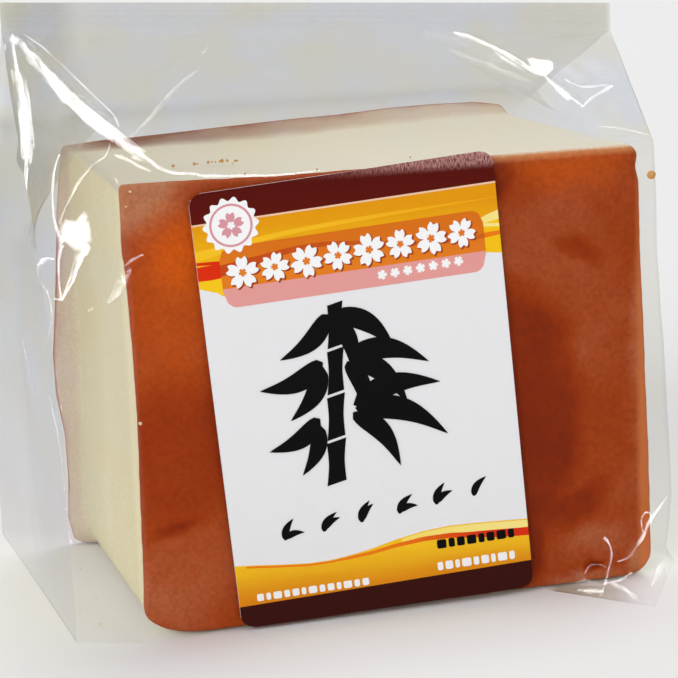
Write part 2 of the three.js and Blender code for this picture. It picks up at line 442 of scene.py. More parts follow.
def sponge(tree, at):
    """Pale crumb with painted shade in its pores, towards the rear of the sides and towards the left of the
    top, a top painted paler and cooler, and the rim that the rear skin has browned.
    """
    crumb = {0: at["clouds"], 6: linear(CRUMB), 7: linear(PALE_CRUMB)}
    crumb = add(tree, "ShaderNodeMix", crumb, data_type="RGBA")
    # Painted shade in the pores: the crumb is darker where the pores are deep.
    porous = add(
        tree, "ShaderNodeMix", {0: at["pore depth"], 6: linear(PORE_SHADE), 7: crumb}, data_type="RGBA",
    )
    # Painted light: the top face of the same sponge takes a paler, cooler colour of its own.
    paler = add(tree, "ShaderNodeMix", {0: at["on top"], 6: porous, 7: linear(TOP_CRUMB_PAINTED_LIGHT)}, data_type="RGBA")
    # Painted shade: the top darker towards the left and the sides darker towards the rear.
    dusk = {0: at["on top"], 2: at["painted shade to the rear"], 3: at["painted shade to the left"]}
    dusk = add(tree, "ShaderNodeMix", dusk, data_type="FLOAT")
    painted_shaded = add(tree, "ShaderNodeMix", {0: 1.0, 6: paler, 7: dusk}, data_type="RGBA", blend_type="MULTIPLY")

    # The rim is browned most along the top and on the left, and least round the corner at its end.
    to_rear = add(tree, "ShaderNodeMath", {0: at["wander"], 1: 2.0, 2: at["depth"]}, operation="MULTIPLY_ADD")
    rim = add(
        tree, "ShaderNodeMapRange", {0: to_rear, 1: 26.2, 2: 30.0, 3: 0.0, 4: 1.0},
        interpolation_type="SMOOTHSTEP",
    )
    upper = add(tree, "ShaderNodeMix", {0: at["past the corner"], 2: 0.3, 3: at["upper"]}, data_type="FLOAT")
    strength = add(tree, "ShaderNodeMath", {0: upper, 1: at["paling"]}, operation="MULTIPLY")
    browned = add(tree, "ShaderNodeMath", {0: rim, 1: strength}, operation="MULTIPLY")
    fringe = add(tree, "ShaderNodeMapRange", {0: to_rear, 1: 30.2, 2: 31.6, 3: 0.0, 4: 1.0})
    browned = add(
        tree, "ShaderNodeMath", {0: fringe, 1: at["patchy"], 2: browned}, operation="MULTIPLY_ADD",
    )
    deep = add(tree, "ShaderNodeMapRange", {0: strength, 1: 0.35, 2: 1.0, 3: 0.0, 4: 1.0})
    brown = {0: at["on top"], 6: linear(RIM_LEFT), 7: linear(RIM_TOP)}
    brown = add(tree, "ShaderNodeMix", brown, data_type="RGBA")
    brown = add(tree, "ShaderNodeMix", {0: deep, 6: brown, 7: linear(RIM_DEEP)}, data_type="RGBA")
    return add(tree, "ShaderNodeMix", {0: browned, 6: painted_shaded, 7: brown}, data_type="RGBA")


# %% Castella, sponge and skin together
def castella():
    material, tree, surface = empty_material("castella_sponge_and_baked_skin")
    at = cake_fields(tree)
    skin, is_skin = skin_and_its_share(tree, at)
    colour = add(tree, "ShaderNodeMix", {0: is_skin, 6: sponge(tree, at), 7: skin}, data_type="RGBA")
    relief = add(tree, "ShaderNodeMix", {0: is_skin, 2: at["pore depth"], 3: at["grain"]}, data_type="FLOAT")
    bump = add(tree, "ShaderNodeBump", {"Height": relief, "Strength": 0.35, "Distance": 0.2 * MM})
    shader = add(
        tree, "ShaderNodeBsdfPrincipled", {"Base Color": colour, "Roughness": 0.75, "Normal": bump},
    )
    shader.inputs["Specular IOR Level"].default_value = 0.05
    tree.links.new(shader.outputs[0], surface)
    return material


castella_finish = castella()
print("castella finish of", len(castella_finish.node_tree.nodes), "nodes")

# %% [markdown]
# ## The block of cake
#
# The block is a slice sawn from a big sheet, so it is nearly a box, but a soft one: each corner is rounded
# by its own amount, the left foot is squashed into a bevel by the bag, and the sides bow a little. A plain
# cube with a bevel can't do that. Here an outline with four corners of their own radius is swept from the
# front to the back, its corners moving on the way, and each end is closed by shrinking rings.

# %% Outline of the block
CORNERS = {  # name: front (x, z), rear (x, z)
    "bottom left": ((-46.1, 0.3), (-46.4, 0.3)),
    "bottom right": ((47.9, 0.3), (47.2, 0.3)),
    "top right": ((45.5, 78.7), (44.2, 78.7)),
    "top left": ((-45.9, 78.3), (-44.2, 77.0)),
}
SIDE_POINTS, CORNER_POINTS = 92, 10
# The squashed left foot: depth y, and how far the rounding reaches along the floor and up the side.
FOOT = [
    (FRONT, 11.5, 5.2), (-26, 8.0, 7.7), (-11, 5.0, 9.5), (27, 4.6, 10.2), (29.2, 1.4, 1.4), (REAR, 1.2, 1.2),
]
RADII = {"bottom right": (4.6, 3.0), "top right": (2.2, 1.6), "top left": (0.9, 0.9)}


def corner_reach(name, y):
    """How far the corner's rounding reaches along the side before it and along the one after it."""
    if name == "bottom left":
        depths, along_floor, up_side = zip(*FOOT)
        return float(np.interp(y, depths, up_side)), float(np.interp(y, depths, along_floor))
    radius = float(np.interp(y, (FRONT, REAR), RADII[name]))
    return radius, radius


def block_outline(y):
    """The block's outline at depth y, as (x, z) rows, anticlockwise seen from the front."""
    share = (y - FRONT) / CAKE["depth"]
    names = list(CORNERS)
    place = {n: np.array(CORNERS[n][0]) * (1 - share) + np.array(CORNERS[n][1]) * share for n in names}
    outline = []
    for i, name in enumerate(names):
        here, before, after = place[name], place[names[i - 1]], place[names[(i + 1) % 4]]
        arrive = (here - before) / np.linalg.norm(here - before)
        leave = (after - here) / np.linalg.norm(after - here)
        reach_in, reach_out = corner_reach(name, y)
        turn = np.linspace(0, math.pi / 2, CORNER_POINTS)[:, None]
        arc = here - arrive * reach_in * (1 - np.sin(turn)) + leave * reach_out * (1 - np.cos(turn))
        follow = after - leave * corner_reach(names[(i + 1) % 4], y)[0]
        run = np.linspace(0, 1, SIDE_POINTS + 2)[1:-1, None]
        outline += [arc, arc[-1] + (follow - arc[-1]) * run]
    return np.concatenate(outline)


print("outline of", len(block_outline(FRONT)), "points")

# %% Sweep the outline and close the ends
EDGE_ROUNDING = 0.7  # of the sawn edges round the front and back faces
END_RINGS = 34
SWEEP_STEP = 0.85
LEFT_BOW = 0.75  # how far the left side is hollow at mid height
STEP_HEIGHT, STEP_DEPTH = 65.2, 0.75  # a nick in the left edge of the baked face
FLARE_START = 25.5  # the rear skin didn't shrink as the sponge did, so the sponge flares out to meet it
FLARE_LEFT = [  # (z, flare)
    (0, 1.2), (5, 2.7), (13, 2.7), (22, 3.4), (30, 5.0), (38, 5.3), (46, 4.6), (54, 3.9), (62, 3.1),
    (71, 2.2), (79, 1.0),
]
FLARE_TOP = [  # (x, flare)
    (-45, 1.2), (-37, 1.7), (-32, 1.7), (-22, 2.0), (-11, 2.3), (0, 2.6), (9, 2.7), (20, 3.1), (30, 3.0),
    (38, 2.7), (45, 1.5),
]
FLARE_CURVE = 1.7
DENT_HEIGHT, DENT_DEPTH = 74.6, 0.45  # a dent near the top of the front's right-hand edge
SAG_AT, SAG_DEPTH = -8, 0.75  # the top sinks a little left of its middle


def bowed(points):
    """The swept points with the sides' bows, the rear flare, and the nick and dent in the front edges."""
    x, y, z = points.T
    left = np.clip((-x - 38) / 6, 0, 1)
    top = np.clip((z - 70) / 6, 0, 1)
    near_front = np.clip((-20 - y) / 6, 0, 1)
    flare = np.clip((y - FLARE_START) / (REAR - FLARE_START), 0, 1) ** FLARE_CURVE
    hollow = LEFT_BOW * np.sin(math.pi * np.clip(z / STEP_HEIGHT, 0, 1))
    nick = STEP_DEPTH * np.clip((z - STEP_HEIGHT) / 0.8, 0, 1) - 0.45
    x = x + left * np.where(z < STEP_HEIGHT, hollow, hollow - near_front * nick)
    x = x - left * flare * np.interp(z, *zip(*FLARE_LEFT))
    dent = DENT_DEPTH * np.exp(-((z - DENT_HEIGHT) / 1.6) ** 2) * np.clip((x - 40) / 3, 0, 1) * near_front
    sag = SAG_DEPTH * np.exp(-((x - SAG_AT) / 24) ** 2) * (1 - flare)
    rise = flare * np.interp(x, *zip(*FLARE_TOP))
    return np.stack([x - dent, y, z + top * (rise - sag)], axis=1)


END_CENTRE = np.array([0.0, 39.0])  # x and z of the middle of both end faces
MEAN_REACH = 42  # from there to an edge, on average
ROLL = np.linspace(math.pi / 2, 0, 5)[1:-1]  # angles round an end's rounded edge
SHRINK = (1 - np.arange(END_RINGS) / END_RINGS) ** 0.9


def end_rings(face, direction):
    """Rings from the middle of an end face out to its rounded edge."""
    flat = block_outline(face)
    inset = flat + (END_CENTRE - flat) * (EDGE_ROUNDING / MEAN_REACH)
    made = [(END_CENTRE + (inset - END_CENTRE) * s, face) for s in SHRINK[::-1]]
    for angle in ROLL:
        pulled = flat + (inset - flat) * (1 - math.cos(angle))
        made.append((pulled, face - direction * EDGE_ROUNDING * (1 - math.sin(angle))))
    return made


def uneven(points):
    """The block's points with slow swells of a few centimetres and crumb-sized bumps, lower on the skin."""
    on_skin = (points[:, 1] > FLARE_START) | (points[:, 1] < FRONT + 0.4)
    swell = roughness_of(points, 17, seed=1) * 0.18
    bumps = roughness_of(points, 1.9, seed=2) * np.where(on_skin, 0.02, 0.09)
    away = (points - [0, 0, END_CENTRE[1]]) / [CAKE["width"] / 2, REAR, END_CENTRE[1]]
    largest = np.abs(away) >= np.abs(away).max(axis=1, keepdims=True) - 0.02
    push = np.sign(away) * largest
    push /= np.linalg.norm(push, axis=1, keepdims=True)
    points = points + push * (swell + bumps)[:, None]
    points[:, 2] = np.maximum(points[:, 2], 0.15)
    return points


def block_of_cake():
    depths = np.arange(FRONT + EDGE_ROUNDING, REAR - EDGE_ROUNDING, SWEEP_STEP)
    rings = [*end_rings(FRONT, -1), *((block_outline(y), y) for y in depths), *end_rings(REAR, 1)[::-1]]
    count = len(rings[0][0])
    points = np.concatenate([np.insert(ring, 1, y, axis=1) for ring, y in rings])
    faces = ring_faces(len(rings), count)
    front_hub, rear_hub, last = len(points), len(points) + 1, len(points) - count
    for i in range(count):
        beside = (i + 1) % count
        faces += [[front_hub, beside, i], [rear_hub, last + i, last + beside]]
    points = np.vstack([points, *(np.insert(END_CENTRE, 1, y) for y in (FRONT, REAR))])
    return mesh_object("castella_block", uneven(bowed(points)), faces, [castella_finish])


castella_block = block_of_cake()
print("castella block:", len(castella_block.data.polygons), "faces")

# %% [markdown]
# ## The film bag
#
# The bag is a side-gusseted bag of thin clear film. It is wider than the cake, hangs loose on the left,
# leans back over the top to a heat-sealed header, and leaves a loose corner of its base on the table.
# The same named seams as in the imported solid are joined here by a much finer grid, so that folds can be
# pressed into it. A cloth simulation would give folds of its own; these have to lie where the real ones are,
# so each is a short line with a width, and the grid is moved along its own normals.

# %% The bag's seams
FILM_GAP = 0.6
TOP = CAKE["height"] + FILM_GAP
BAG_FRONT = FRONT - FILM_GAP
BAG_REAR = REAR + FILM_GAP
BAG_SIDE = CAKE["width"] / 2 + FILM_GAP
CREASE = {
    "front left": {"table": (-57.2, -27), "top": (-59.4, -16), "straight_to": 35},
    "rear right": {"table": (50, 35), "top": (48.4, 35), "straight_to": 0},
    "rear left": {"table": (-60, 43), "top": (-57, 36), "straight_to": 60},
}
FRONT_RIGHT = {"table": 50, "bow": 51.4, "bow_height": 15, "top": 48.4, "y": -31}
SEAL = {"y": -7, "thickness": 0.5, "height": 5, "left": (-60.3, 102.3), "right": (50.8, 96.6)}
GUSSET = {"start": 64, "deepest": 0.88, "left": (-58.5, 8, -24), "right": (51, 2, 19)}  # x, y, folded x
# The taut ridge from the cake's top edge up to the seal, and the film between it and the cake's corner.
RIDGE = [  # (t, x); t is 0 at the cake's top, 1 at the seal
    (0, -35.5), (0.03, -36.8), (0.086, -40.6), (0.26, -46.2), (0.38, -49.7), (0.54, -53), (0.73, -55.3),
    (1, -57.8),
]
CORNER_FILM = [(0, -BAG_SIDE), (0.25, -52), (0.5, -56.3), (1, -59)]
EAR = {"root": 26.5, "tip": (40.6, -47.6), "side": (54.8, -25), "height": 5}


def steps(value, chain):
    return float(np.interp(value, *zip(*chain)))


def between(a, b, share):
    return a + (b - a) * share


def seal_point(x, sheet):
    z = np.interp(x, (SEAL["left"][0], SEAL["right"][0]), (SEAL["left"][1], SEAL["right"][1]))
    return x, SEAL["y"] + sheet * SEAL["thickness"] / 2, float(z)


def crease(name, z):
    line = CREASE[name]
    lean = steps(z, [(line["straight_to"], 0), (TOP, 1)])
    return tuple(between(a, b, lean) for a, b in zip(line["table"], line["top"]))


def ear_share(z):
    return max(0.0, 1 - z / EAR["height"])


def front_right_crease(z):
    bow = (FRONT_RIGHT["bow_height"], FRONT_RIGHT["bow"])
    x = steps(z, [(0, FRONT_RIGHT["table"]), bow, (TOP, FRONT_RIGHT["top"])])
    return between(x, EAR["side"][0], ear_share(z)), between(FRONT_RIGHT["y"], EAR["side"][1], ear_share(z))


def gusset_body(side, z):
    x, y, _ = GUSSET[side]
    return steps(z, [(GUSSET["start"], x), (TOP, math.copysign(BAG_SIDE, x))]), y


def gusset_roof(side, t):
    x, _, folded = GUSSET[side]
    return steps(t, [(0, math.copysign(BAG_SIDE, x)), (GUSSET["deepest"], folded), (1, SEAL[side][0])])


# Anticlockwise seen from above: columns to the next seam, sheet of the seal it ends in, its line beside the
# cake as (x, y) at height z, and its x in the roof at t.
SEAMS = [
    (46, -1, lambda z: crease("front left", z), lambda t: SEAL["left"][0]),
    (18, -1, lambda z: (-BAG_SIDE, BAG_FRONT), lambda t: steps(t, CORNER_FILM)),
    (84, -1, lambda z: (steps(z, [(TOP - 9, 1.5 - BAG_SIDE), (TOP, RIDGE[0][1])]), BAG_FRONT),
     lambda t: steps(t, RIDGE)),
    (24, -1, lambda z: (EAR["root"], BAG_FRONT), lambda t: EAR["root"]),
    (24, -1, lambda z: (EAR["tip"][0], between(BAG_FRONT, EAR["tip"][1], ear_share(z))),
     lambda t: EAR["tip"][0]),
    (38, -1, front_right_crease, lambda t: SEAL["right"][0]),
    (34, 0, lambda z: gusset_body("right", z), lambda t: gusset_roof("right", t)),
    (6, 1, lambda z: crease("rear right", z), lambda t: SEAL["right"][0]),
    (92, 1, lambda z: (BAG_SIDE - 1, BAG_REAR), lambda t: BAG_SIDE - 1),
    (16, 1, lambda z: (1 - BAG_SIDE, BAG_REAR), lambda t: 1 - BAG_SIDE),
    (34, 1, lambda z: crease("rear left", z), lambda t: SEAL["left"][0]),
    (50, 0, lambda z: gusset_body("left", z), lambda t: gusset_roof("left", t)),
]
COLUMNS = sum(seam[0] for seam in SEAMS)
print(len(SEAMS), "seams,", COLUMNS, "columns")

# %% The bag's grid
BODY_ROWS, ROOF_ROWS, SEAL_ROWS = 112, 60, 4
CORNER_SEAM, RIDGE_SEAM = 1, 2
CORNER_REACH = 0.2  # the film lets go of the cake's corner by this t


def body_ring(z):
    return [(*body(z), z) for _, _, body, _ in SEAMS]


def roof_ring(t):
    ring = []
    for _, sheet, body, roof_x in SEAMS:
        x0, y0 = body(TOP)
        end = seal_point(roof_x(1), sheet)
        x = roof_x(t) + (x0 - roof_x(0)) * (1 - t)
        ring.append((x, between(y0, end[1], t), between(TOP, end[2], t)))
    before, corner, after = ring[CORNER_SEAM - 1:CORNER_SEAM + 2]
    chord = before[1] + (corner[0] - before[0]) / (after[0] - before[0]) * (after[1] - before[1])
    free = min(1, t / CORNER_REACH)
    ring[CORNER_SEAM] = (corner[0], between(BAG_FRONT, chord, free), corner[2])
    return ring


def filled(corners):
    """One row of the grid: the seams' points with the columns between them."""
    row = []
    for i, corner in enumerate(corners):
        start, end = np.array(corner), np.array(corners[(i + 1) % len(corners)])
        share = np.arange(SEAMS[i][0])[:, None] / SEAMS[i][0]
        if i == RIDGE_SEAM:
            share = share ** 1.4  # finer beside the ridge
        row.append(start + (end - start) * share)
    return np.concatenate(row)


heights = np.linspace(0, 1, BODY_ROWS) ** 1.06 * TOP
rows = [filled(body_ring(z)) for z in heights]
rows += [filled(roof_ring(t)) for t in np.linspace(0, 1, ROOF_ROWS)[1:]]
rows += [rows[-1] + [0, 0, SEAL["height"] * k / SEAL_ROWS] for k in range(1, SEAL_ROWS + 1)]
grid = np.array(rows)
print("film grid:", grid.shape[:2])


def distance_to(chain, points):
    """Each point's distance to a chain, how far along it lies from 0 to 1, and the nearest piece's number."""
    chain = np.array(chain, float)
    pieces = chain[1:] - chain[:-1]
    lengths = np.linalg.norm(pieces, axis=1)
    starts = np.concatenate([[0], np.cumsum(lengths)[:-1]])
    nearest, along = np.full(len(points), np.inf), np.zeros(len(points))
    which = np.zeros(len(points), int)
    for k, (start, piece, length, before) in enumerate(zip(chain[:-1], pieces, lengths, starts)):
        share = np.clip((points - start) @ piece / length ** 2, 0, 1)
        away = np.linalg.norm(points - start - share[:, None] * piece, axis=1)
        closer = away < nearest
        nearest[closer], which[closer] = away[closer], k
        along[closer] = ((before + share * length) / lengths.sum())[closer]
    return nearest, along, which


def grid_normals(surface):
    along = np.roll(surface, -1, 1) - np.roll(surface, 1, 1)
    upward = np.gradient(surface, axis=0)
    normal = np.cross(along, upward)
    return normal / np.maximum(np.linalg.norm(normal, axis=2, keepdims=True), 1e-9)


# The film lifts over the rear skin's upper edge, and turns softly at the taut ridge.
over_rear = np.clip((grid[..., 1] + 7) / 38, 0, 1) * np.exp(-((np.minimum(grid[..., 2], 80) - 80) / 5) ** 2)
over_rear *= np.clip((47 - np.abs(grid[..., 0])) / 4, 0, 1)
grid += over_rear[..., None] * [0, 0.3, 3.4]

# %% [markdown]
# ## Folds in the film
#
# A fold catches the light as a thin white line because somewhere across it the surface faces halfway between
# the lamp and the eye. A softly rounded ridge has only a sliver at that angle. Real film breaks into flat
# facets instead, so a fold here is a narrow band that is tilted flat about its own line: the tilt is worked
# out for the mirrored panel that needs the least of it, at the place where the camera stands. From any
# other side the same facets catch the light where they happen to.

# %% Named folds
towards_eye = -forward
HALFWAY = [
    (Vector(towards).normalized() + towards_eye).normalized() for towards, _ in MIRRORED_PANELS.values()
]
MAX_TILT = 0.75
FOLD_FADE = 0.8  # how far a fold's edge takes to sink into the film

FOLDS = [  # name, points (x, y, z), width, lift
    ("taut ridge", [
        (-57.8, -8.4, 101.3), (-54.7, -14.3, 95.7), (-51.2, -18.9, 91.5), (-48, -22.4, 88),
        (-44.6, -25.7, 84.8), (-41, -29, 81.6), (-37.6, -30.8, 79.5),
    ], 2.2, 0.1),
    ("blade on the left crease", [
        (-58.8, -9.8, 98.5), (-58.5, -13.7, 91.4), (-58.7, -15.2, 85.2), (-59.1, -16.3, 78.6),
    ], 1.9, 0.2),
    ("facet on the loose side", [(-54.5, -22.9, 70.6), (-50.6, -26.8, 69.9)], 4.6, 0.2),
    ("right arm of the V", [(-51.5, -26.1, 67.9), (-53.4, -24.5, 62.6), (-55.2, -23.4, 58.8)], 1.6, 0.1),
    ("short blade", [(-58, -18.6, 63.6), (-57.1, -20.4, 65.2), (-55.8, -21.6, 65.4)], 1.3, 0.1),
    ("streak on the sponge", [(-45.6, -31.4, 64), (-47.1, -31, 61.6), (-48.9, -29.5, 58.7)], 1.5, 0.1),
    ("right ridge of the roof", [
        (20.5, -8.6, 98.3), (25.2, -11.4, 95.9), (30.9, -16.1, 91.6), (35.2, -19.8, 88.2), (37.8, -23, 85),
    ], 1.6, 0.2),
    ("knuckle of the right ridge", [(31.4, -14.4, 92.3), (36, -15.8, 90.7)], 2.6, 0.3),
    ("ridge of the ear", [(36.5, -38.6, 1.9), (38.7, -44.2, 0.8)], 1, 0.1),
    ("second ridge of the ear", [(43.1, -42.2, 1.1), (48.8, -32.3, 1.9)], 1, 0.1),
]


def tilt_for(normal, along):
    """Direction across a fold, and the slope across it that turns its facet halfway to a mirrored panel."""
    across = np.cross(normal, along)
    across /= np.linalg.norm(across)
    choices = [-(np.dot(half, across) / max(np.dot(half, normal), 0.3)) for half in HALFWAY]
    slope = min(choices, key=abs)
    return across, float(np.clip(slope, -MAX_TILT, MAX_TILT))


def nearest_on(surface_points, surface_normals, place):
    i = int(np.argmin(np.linalg.norm(surface_points - place, axis=1)))
    return surface_points[i], surface_normals[i]


def fold_height(chain, width, lift, points, normals):
    """How far each point of the film is lifted by one fold."""
    chain = np.array([nearest_on(points, normals, np.array(p))[0] for p in chain])
    away, along, which = distance_to(chain, points)
    height = np.zeros(len(points))
    length = np.linalg.norm(np.diff(chain, axis=0), axis=1).sum()
    taper = np.clip(np.minimum(along, 1 - along) * length / width, 0, 1)
    for k in range(len(chain) - 1):
        start, piece = chain[k], chain[k + 1] - chain[k]
        direction = piece / np.linalg.norm(piece)
        normal = nearest_on(points, normals, start + piece / 2)[1]
        across, slope = tilt_for(normal, direction)
        mine = (which == k) & (away < width + 2 * FOLD_FADE)
        side = (points[mine] - start) @ across
        window = np.clip((width / 2 + FOLD_FADE - away[mine]) / FOLD_FADE, 0, 1)
        window = window * window * (3 - 2 * window)
        height[mine] = window * (slope * np.clip(side, -width, width) + abs(slope) * width / 2 + lift)
    return height * taper


# %% Press the folds into the grid
def looseness(points):
    """0 where the film lies on the cake, 1 where it hangs free."""
    x, y, z = points.T
    off_sides = np.clip((np.abs(x + 0.5) - 44.5) / 4, 0, 1)
    off_top = np.clip((z - 78) / 5, 0, 1)
    return np.maximum(off_sides, off_top)


def pressed(surface):
    flat = surface.reshape(-1, 3)
    normal = grid_normals(surface).reshape(-1, 3)
    loose = looseness(flat) * np.clip(flat[:, 2] / 4, 0, 1)
    loose *= np.clip((SEAL["left"][1] + 1 - flat[:, 2]) / 6, 0.15, 1)
    move = roughness_of(flat, 26, seed=7) * 0.7 * loose
    move -= np.abs(roughness_of(flat, 12, seed=6)) * 0.2 * loose
    for _, chain, width, lift in FOLDS:
        move += fold_height(chain, width, lift, flat, normal)
    return (flat + normal * move[:, None]).reshape(surface.shape)


film_grid = pressed(grid)
film_grid[..., 2] = np.maximum(film_grid[..., 2], 0)
film_points = film_grid.reshape(-1, 3)
print("film:", len(film_points), "points, box", film_points.min(0).round(1), film_points.max(0).round(1))

# %% [markdown]
# ## The film's finish
#
# Packing film of this kind is stretched polypropylene: clear, glossy and so thin that it doesn't bend what
# is seen through it, so a transparent shader is truer than glass. It mirrors more at a slant. Both faces of
# a film mirror alike, so the share comes from the angle alone; a Fresnel node would take the inside of
# the bag for the inside of a solid and turn it into a mirror. Each sheet takes a little light away, which is
# its tint, and loose film looks greyer than film stretched over the cake.


# %% Clear polypropylene film
FILM_WAVINESS = 3.5  # width of the faint ripples in drawn film
TINT_DRIFT = 14  # width of the areas that look cooler or warmer


def polypropylene(name, tints, haze, square_on, grazing, ripple):
    """Film whose tint and haze follow the attribute grey, and whose mirror follows the attribute shine.

    The tint drifts between two colours. square_on and grazing are the shares of light that fully shiny film
    mirrors when it is seen straight on and at a slant; haze is the share that fully grey film scatters. The
    attribute cloud adds haze where several sheets lie close together.
    """
    material, tree, surface = empty_material(name)
    place = add(tree, "ShaderNodeTexCoord").outputs["Object"]
    in_mm = add(tree, "ShaderNodeVectorMath", {0: place, "Scale": 1 / MM}, operation="SCALE")
    ripples = add(tree, "ShaderNodeTexNoise", {"Vector": in_mm, "Scale": 1 / FILM_WAVINESS, "Detail": 1.0})
    bump = add(tree, "ShaderNodeBump", {"Height": ripples, "Strength": ripple, "Distance": 0.25 * MM})
    grey = add(tree, "ShaderNodeAttribute", attribute_name="grey").outputs["Fac"]
    shine = add(tree, "ShaderNodeAttribute", attribute_name="shine").outputs["Fac"]
    cloud = add(tree, "ShaderNodeAttribute", attribute_name="cloud").outputs["Fac"]
    noise_field = add(tree, "ShaderNodeTexNoise", {"Vector": in_mm, "Scale": 1 / TINT_DRIFT, "Detail": 1.0})
    drift = add(
        tree, "ShaderNodeMapRange", {0: noise_field, 1: 0.38, 2: 0.62, 3: 0.0, 4: 1.0},
        interpolation_type="SMOOTHSTEP",
    )
    full_tint = add(
        tree, "ShaderNodeMix", {0: drift, 6: linear(tints[0]), 7: linear(tints[1])}, data_type="RGBA",
    )
    tint = add(tree, "ShaderNodeMix", {0: grey, 6: (1, 1, 1, 1), 7: full_tint}, data_type="RGBA")
    pane = add(tree, "ShaderNodeBsdfTransparent", {"Color": tint})
    gloss = add(tree, "ShaderNodeBsdfGlossy", {"Color": (1, 1, 1, 1), "Roughness": 0.09, "Normal": bump})
    slant = add(tree, "ShaderNodeLayerWeight", {"Blend": 0.5, "Normal": bump}).outputs["Facing"]
    steep = add(tree, "ShaderNodeMath", {0: slant, 1: 5.0}, operation="POWER")
    mirrored = add(tree, "ShaderNodeMapRange", {0: steep, 1: 0.0, 2: 1.0, 3: square_on, 4: grazing})
    share = add(tree, "ShaderNodeMath", {0: mirrored, 1: shine}, operation="MULTIPLY")
    film = add(tree, "ShaderNodeMixShader", {0: share, 1: pane, 2: gloss})
    milk = add(
        tree, "ShaderNodeMix", {0: drift, 6: linear("#d2d6dc"), 7: linear("#dcd8ca")}, data_type="RGBA",
    )
    scatter = add(tree, "ShaderNodeBsdfPrincipled", {"Base Color": milk, "Roughness": 0.5})
    scatter.inputs["Specular IOR Level"].default_value = 0.0
    cloudy = add(tree, "ShaderNodeMath", {0: grey, 1: haze, 2: cloud}, operation="MULTIPLY_ADD")
    whole = add(tree, "ShaderNodeMixShader", {0: cloudy, 1: film, 2: scatter})
    tree.links.new(whole.outputs[0], surface)
    return material


# The second pair of tints is brown: painted shadow of the crust's lower edge on the folded film seen below
# it.
FILM_TINTS, CRUST_SHADOW_TINTS = ("#d7d9de", "#dad7cc"), ("#a46c3e", "#b4875a")
FILM_FINISHES = {  # tints, haze, mirrored square on, mirrored at a slant, ripple
    "stretched_polypropylene_film": (FILM_TINTS, 0.1, 0.05, 0.85, 0.2),
    "film_lying_flat": (FILM_TINTS, 0.0, 0.0, 0.0, 0.0),
    "folded_film_with_painted_crust_shadow": (CRUST_SHADOW_TINTS, 0.1, 0.05, 0.3, 0.2),
    "polypropylene_film_loose_corner": (FILM_TINTS, 0.1, 0.05, 0.3, 0.2),
    "pinched_polypropylene_film": (("#f2f2f2", "#f6f6f6"), 0.2, 0.12, 0.12, 0.1),
}
film_finishes = [polypropylene(name, *recipe) for name, recipe in FILM_FINISHES.items()]
film_finish, flat_film_finish, _, _, pleat_finish = film_finishes
print(len(film_finishes), "film finishes")

# %% The film's mesh
LOOSE_CORNER_X = 37.5  # where the folded foot of the bag ends and its loose corner begins
film_faces = ring_faces(len(rows), COLUMNS)
film_faces.append(list(range(COLUMNS))[::-1])
film_faces.append([(len(rows) - 1) * COLUMNS + i for i in range(COLUMNS)])
film_bag = mesh_object("film_bag", film_points, film_faces, film_finishes[:4])
for polygon in film_bag.data.polygons[:-2]:
    x, y, z = np.array(polygon.center) / MM
    if x > EAR["root"] and y < BAG_FRONT - 0.2 and z < EAR["height"] + 1:
        polygon.material_index = 2 if x < LOOSE_CORNER_X else 3
for cap in film_bag.data.polygons[-2:]:
    cap.material_index = 1
print("film bag:", len(film_bag.data.polygons), "faces")

# %% How grey and how shiny the film is
SHEETS = [  # after each seam: grey beside the cake, shine, grey in the roof, shine
    (0.42, 1.0, 0.55, 1.0), (0.18, 0.6, 0.55, 1.0), (0.0, 0.12, 0.6, 1.0), (0.0, 0.12, 0.6, 1.0),
    (0.0, 0.12, 0.6, 1.0), (0.42, 0.25, 0.0, 0.2), (0.42, 0.25, 0.0, 0.1), (0.38, 0.25, 0.45, 0.2),
    (0.0, 0.12, 0.52, 0.05), (0.42, 0.7, 0.45, 0.1), (0.34, 0.6, 0.0, 0.1), (0.4, 0.8, 0.0, 0.2),
]
REAR_SEAMS = (7, 8, 9)  # their sheets change over a shorter height
CLOUDS = [  # (x, y, z), radius and share of light scattered, where sheets of the bag lie close together
    ((43.0, -27.0, 82.8), 8.0, 0.6),
    ((50.0, -22.0, 84.0), 7.0, 0.25),
    ((46.0, -15.0, 90.0), 9.0, 0.15),
]


def over_the_film(beside, above):
    """A value for each point of the film from its sheet's value beside the cake and in the roof."""
    columns = [seam[0] for seam in SEAMS]
    soften = np.hanning(7) / np.hanning(7).sum()
    low, high = (
        np.convolve(np.concatenate([v[-3:], v, v[:3]]), soften, "valid")
        for v in (np.repeat([sheet[column] for sheet in SHEETS], columns) for column in (beside, above))
    )
    reach = np.repeat([3 if i in REAR_SEAMS else 12 for i in range(len(SEAMS))], columns)
    return low + (high - low) * np.clip((film_z - TOP + 3) / reach, 0, 1)


film_x, film_y, film_z = np.moveaxis(film_grid, 2, 0)
foot_clears = np.interp(film_z, (0, 12, 35), (0.2, 0.55, 1.0))
left_greys = 1 + 0.6 * np.clip((film_z - 42) / 25, 0, 1) * np.clip((-47 - film_x) / 4, 0, 1)
clouded = sum(
    share * np.exp(-np.sum((film_grid - np.array(centre)) ** 2, axis=2) / radius ** 2)
    for centre, radius, share in CLOUDS
) * np.clip((film_z - TOP) / 1.5, 0, 1)
on_ear = np.clip((BAG_FRONT - 0.3 - film_y) / 1.5, 0, 1) * np.clip((film_x - 26) / 2, 0, 1)
over_crust = film_z + (film_y - FRONT) * math.tan(VIEW_ELEVATION)  # how high on the crust it is seen
under_corner = 3.6 * np.clip((film_x - 42.5) / 5, 0, 1) ** 2  # the crust's rounded foot leaves this free
on_ear *= np.clip((0.9 + under_corner - over_crust) / 1.2, 0, 1)
